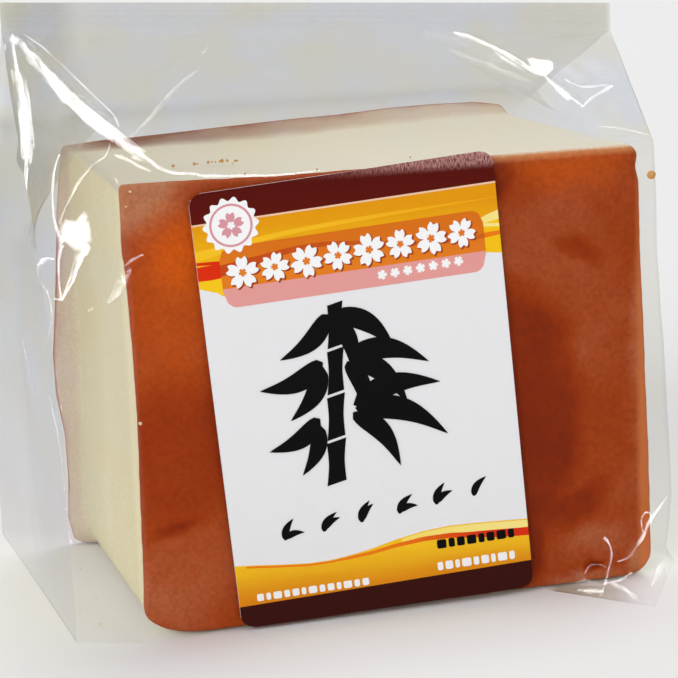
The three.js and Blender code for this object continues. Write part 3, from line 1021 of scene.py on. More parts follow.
# Painted shadow: the film seen just below the crust's lower edge is tinted brown and greyer.
painted_crust_shadow = on_ear * np.interp(film_x, (30, 36, 39), (1.0, 0.5, 0.0))
painted_crust_shadow *= np.interp(film_y, (-44, -34), (0.35, 1))
by_root = np.exp(-((film_x - 31) / 6) ** 2 - ((film_z - 1.5) / 3) ** 2 - ((film_y + 33) / 3) ** 2)
over_rim = np.exp(-((film_y - 30) / 5) ** 2 - ((film_z - 84) / 3) ** 2)
ON_FILM = {
    "grey": np.clip(over_the_film(0, 2) * foot_clears * left_greys + 0.25 * over_rim, painted_crust_shadow, 1),
    "shine": (over_the_film(1, 3) + 0.3 * on_ear) * (1 - by_root),
    "cloud": clouded + on_ear * np.interp(film_x, (36, 40), (0.2, 0.04)),
}
for name, values in ON_FILM.items():
    film_bag.data.attributes.new(name, "FLOAT", "POINT").data.foreach_set("value", values.ravel())
print("on the film:", {name: values.max().round(2) for name, values in ON_FILM.items()})

# %% [markdown]
# ## Pinched pleats
#
# The brightest marks on the film are pleats and pressed-flat spots, where it is pinched double and catches
# the lamps. Most are narrower than the bag's grid, so each is a fine closed strip of its own that follows
# the film. A real pleat is a bundle of curved surfaces, and some of them always mirror a lamp. A strip has
# one flat top instead, so its shading normal is turned halfway to the nearer panel, which stands in for the
# bundle and lights the whole pleat.

# %% Where the pleats run
PLEATS = [  # name, shine, points (x, y, z, width)
    ("taut ridge", 0.8, [
        (-57.8, -8.4, 101.3, 0.5), (-56.4, -11.6, 98.4, 1.7), (-54.7, -14.7, 95.7, 2.2),
        (-53.2, -16.9, 93.7, 2.4), (-52.3, -18.6, 91.9, 2.4), (-51.8, -19.4, 91, 1.8),
    ]),
    ("tooth on the ridge", 0.8, [
        (-52, -18.7, 91.9, 1.7), (-50.5, -19.2, 91.9, 1), (-49.1, -18.6, 91.7, 0.15),
    ]),
    ("ridge below the tooth", 0.8, [
        (-51, -20.2, 90.3, 0.5), (-50.2, -21.1, 89.5, 1.6), (-48.1, -23, 87.7, 2.2), (-46.1, -25, 85.8, 2),
        (-44.5, -26.4, 84.4, 1.7), (-42.8, -27.8, 83.1, 1.5), (-41, -29.2, 81.6, 1.3),
        (-39.1, -30.3, 80.3, 1), (-36.8, -30.9, 79.2, 0.8), (-33.6, -31.2, 78.9, 0.6),
        (-24.9, -31.6, 78.3, 0.5), (-19.2, -31.6, 78, 0.35), (-12.3, -31.5, 78.3, 0.15),
    ]),
    ("soft side of the ridge", 0.1, [
        (-56.5, -9, 101, 0.5), (-54.6, -12.5, 98.1, 2), (-52.5, -15.1, 95.5, 2.8),
        (-50.3, -17.5, 92.9, 2.4), (-48.4, -21, 90.4, 2.2), (-46.4, -23.4, 87.8, 1.8),
        (-44.9, -25.5, 85.6, 0.7),
    ]),
    ("blade on the left crease", 1, [
        (-58.6, -7.8, 102, 0.3), (-58.8, -9.8, 98.5, 0.7), (-58.7, -12.1, 95.3, 1.1),
        (-58.5, -13.7, 91.4, 1.6), (-58.5, -14.4, 88.4, 2.1), (-58.7, -15.2, 85.2, 1.5),
        (-58.8, -16.2, 81.6, 1), (-59.1, -16.3, 78.6, 0.6), (-59.2, -16.6, 76.8, 0.2),
    ]),
    ("beside the ridge", 0.6, [
        (-56.6, -8, 102.1, 0.4), (-54.3, -9.8, 99.9, 0.4), (-52.6, -11.8, 98.1, 0.3),
        (-50.6, -14.2, 95.8, 0.35), (-48.4, -17.1, 93, 0.4), (-46.3, -19.7, 90.6, 0.4),
        (-44.9, -21.4, 88.9, 0.4), (-44.4, -22.7, 87.6, 0.4), (-44.7, -24.2, 86.8, 0.3),
    ]),
    ("left gusset seen through", 0.2, [
        (-43.7, -26.2, 84.5, 0.9), (-38.1, -21.9, 88.3, 1), (-33, -17.2, 92.1, 0.8),
        (-28.5, -14.1, 94.5, 0.64),
    ]),
    ("dash in the roof", 0.3, [(-26.6, -11, 97.2, 0.35), (-25.1, -9.7, 98.4, 0.3)]),
    ("branch below the ridge", 0.5, [
        (-46.3, -25.4, 84.4, 0.3), (-47.7, -26.2, 82.1, 0.5), (-50.1, -26, 80.2, 0.7),
        (-51.7, -25.1, 78.5, 0.8), (-53.4, -23.1, 74.8, 0.6), (-54.8, -22, 71.3, 0.5),
    ]),
    ("curve on the loose side", 0.8, [
        (-53.8, -20.2, 82.7, 0.41), (-55.1, -20.7, 79.2, 0.68), (-55.5, -20.7, 75.2, 0.68),
        (-55.4, -21.4, 71.2, 0.81), (-54.8, -22.7, 68, 1.08),
    ]),
    ("right arm of the V", 1, [
        (-51.3, -26.3, 68.4, 2.6), (-52.5, -25.1, 65.2, 1.9), (-53.4, -24.5, 62.6, 1.4),
        (-54.5, -23.9, 60.4, 0.9), (-55.3, -23.2, 58.7, 0.4),
    ]),
    ("left arm of the V", 0.9, [
        (-54.7, -22.8, 67.9, 1.08), (-55.2, -22.2, 64.9, 0.6), (-55.3, -22.5, 62, 0.6),
        (-55.3, -23.2, 58.7, 0.48),
    ]),
    ("tick under the V", 0.8, [(-56.3, -22.1, 58.8, 0.39), (-55, -23.5, 58.7, 0.52)]),
    ("short blade", 0.7, [
        (-58.2, -17.6, 62.6, 0.4), (-58, -19, 64, 1), (-57.1, -20.4, 65.2, 1.2), (-55.8, -21.6, 65.4, 0.2),
    ]),
    ("streak on the sponge", 0.35, [
        (-45.3, -31.6, 64.6, 0.55), (-46, -31.6, 63.2, 1.65), (-47.1, -31.4, 61.6, 1.87),
        (-48, -30.5, 60.1, 1.43), (-48.9, -29.5, 58.7, 0.44),
    ]),
    ("spark on the sponge", 0.4, [(-51.7, -26.9, 57.1, 0.6), (-50.9, -27.6, 57.7, 0.6)]),
    ("nick at the baked face's edge", 0.4, [
        (-46.1, -31.6, 65, 0.33), (-44.9, -31.8, 65.9, 0.77), (-43, -31.6, 66.6, 0.33),
    ]),
    ("line to the short blade", 0.5, [
        (-58.7, -14.6, 78, 0.32), (-58.8, -15.4, 71.5, 0.32), (-57.9, -17, 64.7, 0.32),
    ]),
    ("line under the short blade", 0.45, [
        (-57.9, -18.8, 62.4, 0.32), (-57.1, -21.2, 59.5, 0.32), (-57, -22.2, 55.2, 0.32),
        (-57.4, -21, 51.6, 0.32),
    ]),
    ("long upright crease", 0.6, [
        (-57.3, -15.6, 41.8, 0.5), (-57.1, -19.8, 37.4, 0.9), (-57, -23.6, 31.9, 0.9),
        (-57.2, -25.8, 26.7, 0.6),
    ]),
    ("foot of the upright crease", 0.35, [(-57.2, -25.9, 24, 0.5), (-56.9, -26.9, 17.7, 0.4)]),
    ("second upright crease", 0.45, [
        (-58.6, 3.8, 47.5, 0.6), (-58.5, -1.2, 41.6, 0.8), (-58.2, -2.7, 36, 0.5),
    ]),
    ("right ridge of the roof", 1, [
        (20.4, -8.2, 98.6, 0.8), (21.5, -9.2, 97.9, 1.1), (25.2, -11.4, 95.9, 1.1),
        (28.1, -13.6, 93.9, 1.1), (30.9, -16.1, 91.6, 1.2), (32.4, -17.4, 90.4, 1),
    ]),
    ("soft side of the right ridge", 0.15, [
        (18.2, -11.5, 95.2, 0.9), (22.8, -14.1, 93, 2), (27.4, -16.8, 90.6, 2), (30.8, -18.6, 89.1, 0.7),
    ]),
    ("light beside the right ridge", 0.06, [
        (14.5, -8.4, 98.6, 2.5), (20, -10, 97.2, 3.6), (24.6, -12.9, 94.6, 3.2), (27.4, -14.9, 92.8, 1.5),
    ]),
    ("tail of the right ridge", 0.7, [
        (33.4, -17.4, 90, 1), (35.2, -20.4, 87.8, 0.7), (36.3, -21.4, 86.6, 0.5), (37.3, -22.5, 85.5, 0.5),
        (38.4, -23.6, 84.6, 0.3),
    ]),
    ("back of the triangle", 0.45, [
        (38.4, -23.4, 84.7, 0.4), (40.4, -21.9, 85.6, 0.8), (42.2, -21, 86.2, 1), (44.2, -19.9, 86.8, 1.1),
        (45.9, -19.1, 87.4, 0.7),
    ]),
    ("top of the triangle", 0.3, [
        (45.9, -19.1, 87.4, 0.6), (43.7, -18.8, 87.6, 0.9), (41.2, -19.3, 87.5, 0.9), (39, -19, 88, 0.8),
        (37.3, -17.6, 89.2, 0.5),
    ]),
    ("edge of the roof", 0.3, [
        (38.9, -27.7, 81.7, 0.32), (42.7, -28.3, 81.2, 0.48), (45.8, -29.2, 80.5, 0.64),
        (48, -30, 80, 0.32),
    ]),
    ("corner fold", 0.9, [
        (50.6, -30.9, 14.4, 0.3), (49.2, -31.2, 12.8, 0.7), (47.7, -31.3, 11.3, 0.8),
        (46.7, -31.3, 9.9, 0.8), (45.5, -31.3, 7.4, 0.8), (43.8, -31.7, 5.3, 0.7), (41.8, -33.2, 4.5, 0.6),
        (39.5, -33.9, 4.2, 0.4),
    ]),
    ("hook by the corner", 0.6, [
        (45.7, -31.3, 8.3, 0.3), (45.3, -31.4, 10.7, 0.4), (45.7, -31.4, 11.7, 0.5),
        (46.7, -31.3, 12.2, 0.6), (47.3, -31.3, 11.1, 0.4), (47.1, -31.3, 9.7, 0.3),
    ]),
    ("blob over the knot", 0.5, [
        (37.9, -31.6, 8.4, 0.4), (38.4, -31.6, 7.9, 0.9), (38.8, -31.6, 7.4, 0.3),
    ]),
    ("upper line of the knot", 0.5, [
        (38.2, -31.6, 8, 0.3), (39.2, -31.6, 6.6, 0.4), (39.2, -32.3, 5.1, 0.45), (37.7, -34.5, 3.9, 0.45),
        (35.6, -37.6, 2.1, 0.5), (33.9, -39.5, 0.4, 0.3),
    ]),
    ("loop of the knot", 0.3, [
        (33, -34.5, 3, 0.2), (34.4, -33.5, 4, 0.4), (36, -33.5, 4.2, 0.4), (37, -34.8, 3.7, 0.2),
    ]),
    ("light under the crust", 0.14, [
        (30.7, -34.9, 1.6, 0.5), (32.3, -35.7, 1.9, 1.3), (33.7, -36.9, 1.8, 1.3), (34.9, -38.5, 1.4, 0.5),
    ]),
    ("knot above the ear", 0.6, [
        (31, -36, 0.7, 0.6), (32.3, -37.2, 0.7, 1.1), (33.5, -38.3, 0.8, 1.2), (34.6, -39.2, 0.9, 0.6),
    ]),
    ("fold to the ear", 0.5, [
        (35.2, -37.8, 1.9, 0.4), (36.6, -38.4, 2, 0.6), (38.4, -38.6, 2.4, 0.6), (40.8, -37.4, 3.1, 0.3),
    ]),
    ("ridge of the ear", 0.45, [(36.5, -38.6, 1.9, 0.5), (37.6, -41.1, 1.5, 1.1), (38.8, -44, 0.6, 1.1)]),
    ("second ridge of the ear", 0.3, [
        (43.5, -40.1, 1.1, 0.4), (46.2, -36.3, 1.5, 1.1), (49.3, -31.7, 1.6, 1.1), (50.9, -29.5, 2.3, 0.4),
    ]),
]
print(len(PLEATS), "pleats")

# %% Strips that follow the film
PLEAT_STEP = 0.3
film_tree = BVHTree.FromPolygons(film_points.tolist(), film_faces)


def on_film(place):
    """The nearest point of the film and the outward normal there."""
    near, normal, _, _ = film_tree.find_nearest(Vector(place))
    return np.array(near), np.array(normal)


def resampled(chain, step):
    """A smooth run of rows through a chain, by Catmull-Rom pieces."""
    chain = np.array(chain, float)
    ends = np.vstack([2 * chain[0] - chain[1], chain, 2 * chain[-1] - chain[-2]])
    run = []
    for a, b, c, d in zip(ends[:-3], ends[1:-2], ends[2:-1], ends[3:]):
        count = max(2, int(np.linalg.norm((c - b)[:3]) / step))
        t = (np.arange(count) / count)[:, None]
        run.append(b + (c - a) * t / 2 + (a - 2.5 * b + 2 * c - d / 2) * t ** 2
                   + (1.5 * (b - c) + (d - a) / 2) * t ** 3)
    return np.vstack([*run, chain[-1]])


def averaged(run, passes):
    for _ in range(passes):
        run[1:-1] = (run[:-2] + 2 * run[1:-1] + run[2:]) / 4
    return run


# A pleat's section: (across in half widths, share of its shine). One flank is crisp, the other fades.
FLANKS = [
    (1, 0.0), (0.75, 0.8), (0.45, 1.0), (0.15, 0.9), (-0.15, 0.6), (-0.45, 0.4), (-0.75, 0.2), (-1, 0.0),
]
STREAK = 2.2  # length of the bright and dull patches along a pleat
SINK = 0.05  # how far a pleat's foot lies below the film's outer face
PLEAT_RISE = 0.08  # of its top above that face, and more where it is wide


def nearer_half(normals):
    """The half direction that a top face with these normals is nearest to."""
    return max(HALFWAY, key=lambda half: half.dot(Vector(np.mean(normals, axis=0))))


def pleat(shine, chain):
    """A closed strip along the film: points, shine of each, faces, number of top faces and their normal."""
    rows_of_four = resampled(chain, PLEAT_STEP)
    feet = [on_film(place) for place in rows_of_four[:, :3]]
    run = averaged(np.array([point for point, _ in feet]), 8)
    normals = averaged(np.array([normal for _, normal in feet]), 12)
    ragged = 1 + 0.5 * roughness_of(run, 1.1, seed=11)
    widths = np.maximum(rows_of_four[:, 3] * ragged, 0.08)
    along = np.gradient(run, axis=0)
    top, foot, shines = [], [], []
    for place, normal, direction, width in zip(run, normals, along, widths):
        direction = direction / np.linalg.norm(direction)
        across = np.cross(normal, direction)
        across /= np.linalg.norm(across)
        normal = np.cross(direction, across)
        for side, share in FLANKS:
            edge = place + across * side * width / 2
            top.append(edge + normal * (PLEAT_RISE + 0.04 * width))
            foot.append(edge - normal * SINK)
            shines.append(share)
    wide = len(FLANKS)
    patches = np.array(top) / STREAK + np.tile(np.arange(wide)[:, None] * [0.6, 0.4, 0.0], (len(run), 1))
    shines = shine * np.clip(np.array(shines) * (0.7 + 1.1 * roughness_of(patches, 1.0, seed=12)), 0, 1)
    faces = strip_faces(len(run), wide)
    tops = (len(run) - 1) * (wide - 1)
    return top + foot, [*shines, *[0.0] * len(foot)], faces, tops, nearer_half(normals)


# %% Spots where the film is pressed flat
# The middle on the film, and the outline as (right, up) in the picture.
SPOTS = [
    ((-52.6, -24.7, 70), [
        (-3.1, 0), (-2.6, 1.5), (-1.5, 2.4), (0, 2.1), (1.4, 3.3), (2.1, 3.1), (2.4, 1.7), (2.9, 0.5),
        (2.8, -0.9), (2.4, -2.1), (1.2, -3.1), (-0.3, -2.8), (-1.2, -2.1), (-2.4, -1.5),
    ]),
    ((33.9, -15.4, 91.4), [
        (-2.1, -0.3), (-2.3, 1.5), (-1.7, 2), (0, 1.4), (0.9, 1.8), (2.2, 1.1), (2.4, 0), (1.4, -1.2),
        (0.2, -2.1), (-1.2, -1.5),
    ]),
]
SPOT_RINGS = [(0.0, 1.0), (0.35, 1.0), (0.6, 0.9), (0.8, 0.5), (1.06, 0.0)]  # shares of outline and shine
SPOT_EDGE = 72
SPOT_RISE = 0.18


def spot(middle, outline):
    """A closed flat spot on the film, with an uneven edge."""
    outline = np.array(outline + outline[:1], float)
    corner = np.linspace(0, len(outline) - 1, SPOT_EDGE, endpoint=False)
    edge = np.stack([np.interp(corner, np.arange(len(outline)), outline[:, axis]) for axis in (0, 1)], axis=1)
    edge *= 1 + 0.16 * roughness_of(np.insert(edge, 2, middle[0], axis=1), 0.7, seed=13)[:, None]
    top, foot, shines, normals = [], [], [], []
    for share, shine in SPOT_RINGS:
        for dx, dy in edge * share if share else edge[:1] * 0:
            start = Vector(middle) + right * float(dx) + up * float(dy) - forward * 12
            place, normal, _, _ = film_tree.ray_cast(start, forward)
            top.append(np.array(place + normal * SPOT_RISE))
            foot.append(np.array(place - normal * SINK))
            shines.append(shine)
            normals.append(normal)
    count = len(top)
    tops = [[0, 1 + (i + 1) % SPOT_EDGE, 1 + i] for i in range(SPOT_EDGE)]
    tops += [[1 + i for i in face] for face in ring_faces(len(SPOT_RINGS) - 1, SPOT_EDGE)]
    rim = list(range(count - 1, count - 1 - SPOT_EDGE, -1))
    faces = closed_sheet(tops, rim, count)
    return top + foot, shines + [0.0] * count, faces, len(tops), nearer_half(normals)


marks = [*(pleat(shine, chain) for _, shine, chain in PLEATS), *(spot(*where) for where in SPOTS)]
pleat_points, pleat_faces, pleat_tops, pleat_shine = [], [], [], []
for points, shines, faces, tops, facing in marks:
    pleat_tops += [facing] * tops + [None] * (len(faces) - tops)
    pleat_faces += [[i + len(pleat_points) for i in face] for face in faces]
    pleat_points += points
    pleat_shine += [float(shine) for shine in shines]
film_pleats = mesh_object("film_pleats", pleat_points, pleat_faces, [pleat_finish, flat_film_finish])
corner_normals = []
for polygon, facing in zip(film_pleats.data.polygons, pleat_tops):
    polygon.material_index = 0 if facing is not None else 1
    corner_normals += [facing if facing is not None else polygon.normal] * polygon.loop_total
film_pleats.data.normals_split_custom_set(corner_normals)
for name in ("grey", "shine"):
    film_pleats.data.attributes.new(name, "FLOAT", "POINT").data.foreach_set("value", pleat_shine)
for piece in (film_bag, film_pleats):
    piece.visible_shadow = False
    piece.visible_diffuse = False
print("pleats and", len(SPOTS), "spots:", len(film_pleats.data.polygons), "faces")

# %% [markdown]
# ## The label
#
# The label is coated paper stuck to the outside of the film. It stands a few degrees off the upright, and
# its top right-hand part bends back over the cake's rounded top edge, where its coating catches the light
# and pale streaks of sheen are painted into the maroon ink.
# Ink has no thickness worth modelling, but thin printed shapes one above the other keep every edge crisp and
# let each colour have a finish of its own, so each printed field is a sheet a few hundredths deep.

# %% The label's own coordinates
LABEL = {"width": 53.4, "height": 77.5, "corner": 2.3, "thickness": 0.3}
LABEL_CORNERS = {  # (x, z) where each corner would lie if the label were flat
    "bottom left": (-29.4, 0.45),
    "bottom right": (24.1, 1.2),
    "top right": (18.0, 79.6),
    "top left": (-35.2, 75.9),
}
LABEL_GAP = 0.35  # between the film and the label's back
BEND_START, BEND_RADIUS = 77.57, 3.0  # height and radius of the bend over the cake's top edge
INK = 0.012  # rise of each printed layer above the one below


def on_label(across, upward, rise):
    """The points at (across, upward) on the label, rise in front of its back face."""
    u = (np.asarray(across, float) / LABEL["width"])[:, None]
    v = (np.asarray(upward, float) / LABEL["height"])[:, None]
    bl, br, tr, tl = (np.array(corner) for corner in LABEL_CORNERS.values())
    x, z = (bl * (1 - u) * (1 - v) + br * u * (1 - v) + tr * u * v + tl * (1 - u) * v).T
    radius = BEND_RADIUS + LABEL_GAP + np.asarray(rise, float)
    angle = np.maximum(z - BEND_START, 0) / (BEND_RADIUS + LABEL_GAP)
    y = BAG_FRONT + BEND_RADIUS - radius * np.cos(angle)
    return np.stack([x, y, np.where(z > BEND_START, BEND_START + radius * np.sin(angle), z)], axis=1)


def rounding(radius, to_end):
    """How far a rounded corner takes an edge in, at this distance from the edge's end."""
    into = np.clip(radius - to_end, 0, radius)
    return radius - np.sqrt(np.maximum(radius ** 2 - into ** 2, 0))


def field(lower, upper, left, right, low, high, rows=2, columns=72):
    """A printed field as a closed sheet from rise low to high. lower and upper are heights, or functions."""
    u, v = np.meshgrid(np.linspace(0, 1, columns + 1), np.linspace(0, 1, rows + 1))
    across = left + (right - left) * u
    bottom = lower(across) if callable(lower) else lower
    top = upper(across) if callable(upper) else upper
    upward = bottom + (top - bottom) * v
    inset = rounding(LABEL["corner"], np.minimum(upward, LABEL["height"] - upward))
    across = np.clip(across, inset, LABEL["width"] - inset)
    points = np.concatenate([on_label(across.ravel(), upward.ravel(), rise) for rise in (high, low)])
    return points, strip_faces(rows + 1, columns + 1)


def shape(outline, low, high):
    """A small printed shape as a closed sheet, from an anticlockwise outline of (across, upward) rows."""
    outline = np.asarray(outline, float)
    points = np.concatenate([on_label(outline[:, 0], outline[:, 1], rise) for rise in (high, low)])
    rim = list(range(len(outline)))
    return points, closed_sheet([rim], rim, len(rim))


print("label", LABEL["width"], "x", LABEL["height"], "mm")

# %% [markdown]
# ## Paper and inks
#
# Coated label paper is bright, smooth and half glossy, with a faint grain that shows only where the light
# grazes it. The inks take the same coating, so they share one recipe and differ in colour. A printed
# gradient runs along the label's height or width, which its UV map gives in shares of the whole.


# %% Paper and ink finishes
def printed(name, bottom_colour, top_colour, low=0.0, high=1.0, axis="Y", wave=0.0, painted_sheen=False):
    """Coated paper or ink fading from one colour to another along one UV axis, with an optional painted
    sheen.
    """
    material, tree, surface = empty_material(name)
    uv = add(tree, "ShaderNodeUVMap", uv_map="print")
    in_mm = add(
        tree, "ShaderNodeVectorMath", {0: uv, 1: (LABEL["width"], LABEL["height"], 1)}, operation="MULTIPLY",
    )
    stretched = add(tree, "ShaderNodeVectorMath", {0: in_mm, 1: (0.06, 0.5, 1)}, operation="MULTIPLY")
    drift = add(tree, "ShaderNodeTexNoise", {"Vector": stretched, "Scale": 1.0, "Detail": 2.0})
    place = add(tree, "ShaderNodeSeparateXYZ", {0: uv}).outputs[axis]
    moved = add(tree, "ShaderNodeMath", {0: drift, 1: wave, 2: place}, operation="MULTIPLY_ADD")
    share = add(
        tree, "ShaderNodeMapRange", {0: moved, 1: low + wave / 2, 2: high + wave / 2, 3: 0.0, 4: 1.0},
        interpolation_type="SMOOTHSTEP",
    )
    colour = add(
        tree, "ShaderNodeMix", {0: share, 6: linear(bottom_colour), 7: linear(top_colour)},
        data_type="RGBA",
    )
    fibres = add(tree, "ShaderNodeVectorMath", {0: in_mm, 1: (3.2, 0.35, 1)}, operation="MULTIPLY")
    fibre = add(tree, "ShaderNodeTexNoise", {"Vector": fibres, "Scale": 1.0, "Detail": 3.0})
    bump = add(tree, "ShaderNodeBump", {"Height": fibre, "Strength": 0.3, "Distance": 0.08 * MM})
    seen = colour
    if painted_sheen:  # painted sheen: pale streaks along the upright fibres where the label bends over the cake
        threads = add(tree, "ShaderNodeVectorMath", {0: in_mm, 1: (4.5, 1.2, 1)}, operation="MULTIPLY")
        thread = add(tree, "ShaderNodeTexNoise", {"Vector": threads, "Scale": 1.0, "Detail": 2.0})
        u, v, _ = add(tree, "ShaderNodeSeparateXYZ", {0: uv}).outputs
        amount = add(tree, "ShaderNodeMapRange", {0: thread, 1: 0.32, 2: 0.68, 3: 0.05, 4: 0.85})
        for coordinate, start, end in ((u, 0.25, 0.8), (v, 0.98, 1.004)):
            here = add(
                tree, "ShaderNodeMapRange", {0: coordinate, 1: start, 2: end, 3: 0.0, 4: 1.0},
                interpolation_type="SMOOTHSTEP",
            )
            amount = add(tree, "ShaderNodeMath", {0: amount, 1: here}, operation="MULTIPLY")
        seen = add(tree, "ShaderNodeMix", {0: amount, 6: seen, 7: linear("#d8a29c")}, data_type="RGBA")
    shader = add(tree, "ShaderNodeBsdfPrincipled", {"Base Color": seen, "Roughness": 0.42, "Normal": bump})
    shader.inputs["Specular IOR Level"].default_value = 0.12
    tree.links.new(shader.outputs[0], surface)
    return material


INKS = {  # bottom or left colour, top or right colour, where the fade starts and ends, axis, wave, painted sheen
    "coated_label_paper": ("#eaeaec", "#ececee"),
    "maroon_ink": ("#600a00", "#560800", 0.9, 1.0, "Y", 0.0, True),
    "dark_maroon_ink": ("#3a0a04", "#3e0b04"),
    "cream_line_ink": ("#f2c9a6", "#f2c9a6"),
    "amber_ink": ("#f6bc10", "#e89a00", 0.8, 0.93, "Y", 0.06),
    "yellow_ink": ("#fbcb16", "#f9c40e", 0.0, 1.0, "X", 0.2),
    "orange_veil_ink": ("#e8801c", "#dd7212", 0.78, 0.87, "Y", 0.03),
    "pink_veil_ink": ("#eba9a4", "#e79d98"),
    "red_streak_ink": ("#e02c02", "#f07c0c", 0.05, 0.6, "X", 0.1),
    "red_tail_ink": ("#f07c0c", "#dc2c0a", 0.45, 0.9, "X", 0.1),
    "pale_wave_ink": ("#f8d94a", "#fbe78a", 0.3, 1.0, "X", 0.2),
    "base_amber_ink": ("#e0860a", "#f7c41c", 0.05, 0.16, "Y", 0.03),
    "veiled_streak_ink": ("#c84a10", "#cf6412", 0.1, 0.9, "X", 0.2),
    "gold_glow_ink": ("#fac420", "#f3ae0c", 0.0, 1.0, "X", 0.3),
    "white_ink": ("#f6f6f6", "#fbfbfb"),
    "black_brush_ink": ("#050506", "#08080a"),
    "rust_shadow_ink": ("#a03a10", "#a03a10"),
    "rose_ink": ("#e2a7ae", "#dc98a2"),
}
ink = {name: printed(name, *recipe) for name, recipe in INKS.items()}
print(len(ink), "paper and ink finishes")

# %% [markdown]
# ## What is printed
#
# Bands of warm colour cross the top and the foot, with wavy edges drawn as smooth lines through a few
# points. A veiled rounded panel holds a row of white blossoms. The middle carries a bamboo motif in black
# brush strokes, which is a common old pattern, over a row of small leaf marks. Short bars stand where a pack
# has small print.


# %% Wavy bands
WIDTH, HEIGHT, FACE = LABEL["width"], LABEL["height"], LABEL["thickness"]
BASE_WAVE = [  # upper edge of the warm field at the foot: low on the left, then a swell to the right
    (0, 11.6), (4, 11.2), (8, 10.7), (13, 10.2), (17, 10.2), (20, 10.5), (24, 11.1), (29, 12.2), (34, 13.0),
    (39, 13.3), (44, 13.1), (49, 12.8), (53.4, 12.5),
]
MAROON_FOOT = 72.15


def base_wave(a):
    return np.interp(a, *zip(*BASE_WAVE))


def rising(start, end):
    """A function of the distance across: a straight line over the label's whole width."""
    return lambda a: start + (end - start) * a / WIDTH


def soft_line(*points):
    """A function of the distance across: a smooth line through (across, upward) points."""
    run = resampled(points, 0.6)
    return lambda a: np.interp(a, run[:, 0], run[:, 1])


def band(middle, *half_widths):
    """Lower and upper edges of a band that swells and tapers about a middle line."""
    half = soft_line(*half_widths)
    return lambda a: middle(a) - np.maximum(half(a), 0.02), lambda a: middle(a) + np.maximum(half(a), 0.02)


FIELD_FOOT = soft_line((0, 61.3), (3, 60.2), (6, 59.0), (20, 59.4), (38, 60.4), (48, 60.6), (53.4, 60.0))
YELLOW_TOP = soft_line((0, 63.4), (10, 64.2), (26, 63.8), (40, 64.4), (53.4, 66.2))
GLOW_LINE = soft_line((0, 66.8), (14, 68.6), (30, 69.3), (53.4, 69.6))
STREAK_LINE = soft_line(
    (0, 63.8), (4, 63.9), (9, 64.6), (15, 65.6), (22, 65.9), (30, 65.0), (38, 63.8), (46, 63.2), (53.4, 63.5),
)
SECOND_STREAK = soft_line((0, 65.6), (5, 65.2), (12, 64.4), (20, 64.8))
LONG_WAVE = soft_line((36, 62.0), (44, 63.6), (50, 65.8), (53.4, 66.6))
SHORT_WAVE = soft_line((44, 66.8), (49, 65.4), (53.4, 64.8))
BANDS = [  # ink, layer, lower edge, upper edge, from, to, rows of the mesh
    ("amber_ink", 1, FIELD_FOOT, MAROON_FOOT, 0, WIDTH, 10),
    ("yellow_ink", 2, FIELD_FOOT, YELLOW_TOP, 0, WIDTH, 6),
    ("gold_glow_ink", 3, *band(GLOW_LINE, (0, 0.9), (10, 0.5), (34, 0.3), (53.4, 0.05)), 0, WIDTH, 3),
    ("red_streak_ink", 3, *band(
        STREAK_LINE, (0, 1.2), (3, 1.25), (8, 0.95), (14, 0.6), (30, 0.4), (46, 0.55), (53.4, 0.35),
    ), 0, WIDTH, 4),
    ("red_streak_ink", 4, *band(SECOND_STREAK, (0, 0.25), (6, 0.3), (20, 0.05)), 0, 20, 2),
    ("pale_wave_ink", 4, *band(LONG_WAVE, (36, 0.1), (46, 0.35), (53.4, 0.8)), 36, WIDTH, 3),
    ("pale_wave_ink", 5, *band(SHORT_WAVE, (44, 0.05), (50, 0.25), (53.4, 0.3)), 44, WIDTH, 2),
    ("maroon_ink", 2, MAROON_FOOT, HEIGHT, 0, WIDTH, 22),
    ("cream_line_ink", 5, MAROON_FOOT - 0.16, MAROON_FOOT + 0.16, 0, WIDTH, 1),
    ("base_amber_ink", 1, rising(3.9, 4.8), base_wave, 0, WIDTH, 8),
    ("pale_wave_ink", 2, lambda a: base_wave(a) - 1.1 + 0.9 * np.sin(a / 9), lambda a: base_wave(a) - 0.2,
     30, WIDTH, 3),
    ("red_tail_ink", 3, lambda a: base_wave(a) - 0.5 - np.clip((a - 18) / 12, 0, 2.5),
     lambda a: base_wave(a) - 0.15 - np.clip((a - 20) / 16, 0, 1.4), 2, WIDTH, 2),
    ("dark_maroon_ink", 2, 0, rising(4.0, 4.9), 0, WIDTH, 10),
]
UNDERLAP = 0.01  # how far a printed sheet reaches into the paper

printed_parts = []  # (ink name, points, faces)


def print_field(colour, layer, *where):
    printed_parts.append((colour, *field(*where[:4], FACE - UNDERLAP, FACE + layer * INK, where[4])))


def print_shape(colour, layer, outline):
    printed_parts.append((colour, *shape(outline, FACE - UNDERLAP, FACE + layer * INK)))


for band_of_ink in BANDS:
    print_field(*band_of_ink)
print(len(printed_parts), "printed fields")


# %% Rounded panel
PANEL = {"left": 3.9, "right": 50.5, "top": 67.8, "split": 60.7, "foot": 57.3, "corner": 2.2}


def panel_corner(a):
    return rounding(PANEL["corner"], np.minimum(a - PANEL["left"], PANEL["right"] - a))


def panel_top(a):
    return PANEL["top"] - panel_corner(a)


def panel_foot(a):
    return np.minimum(PANEL["foot"] + 1.4 * panel_corner(a), PANEL["split"] - 0.05)


PANEL_STREAK = band(STREAK_LINE, (0, 1.0), (8, 0.9), (14, 0.55), (30, 0.35), (53.4, 0.4))
for colour, layer, lower, upper, rows_of_mesh in (
    ("orange_veil_ink", 6, PANEL["split"], panel_top, 6),
    ("pink_veil_ink", 6, panel_foot, PANEL["split"], 4),
    ("veiled_streak_ink", 6.5, *PANEL_STREAK, 4),
):
    print_field(colour, layer, lower, upper, PANEL["left"], PANEL["right"], rows_of_mesh)
print("panel", round(PANEL["right"] - PANEL["left"], 1), "mm wide")


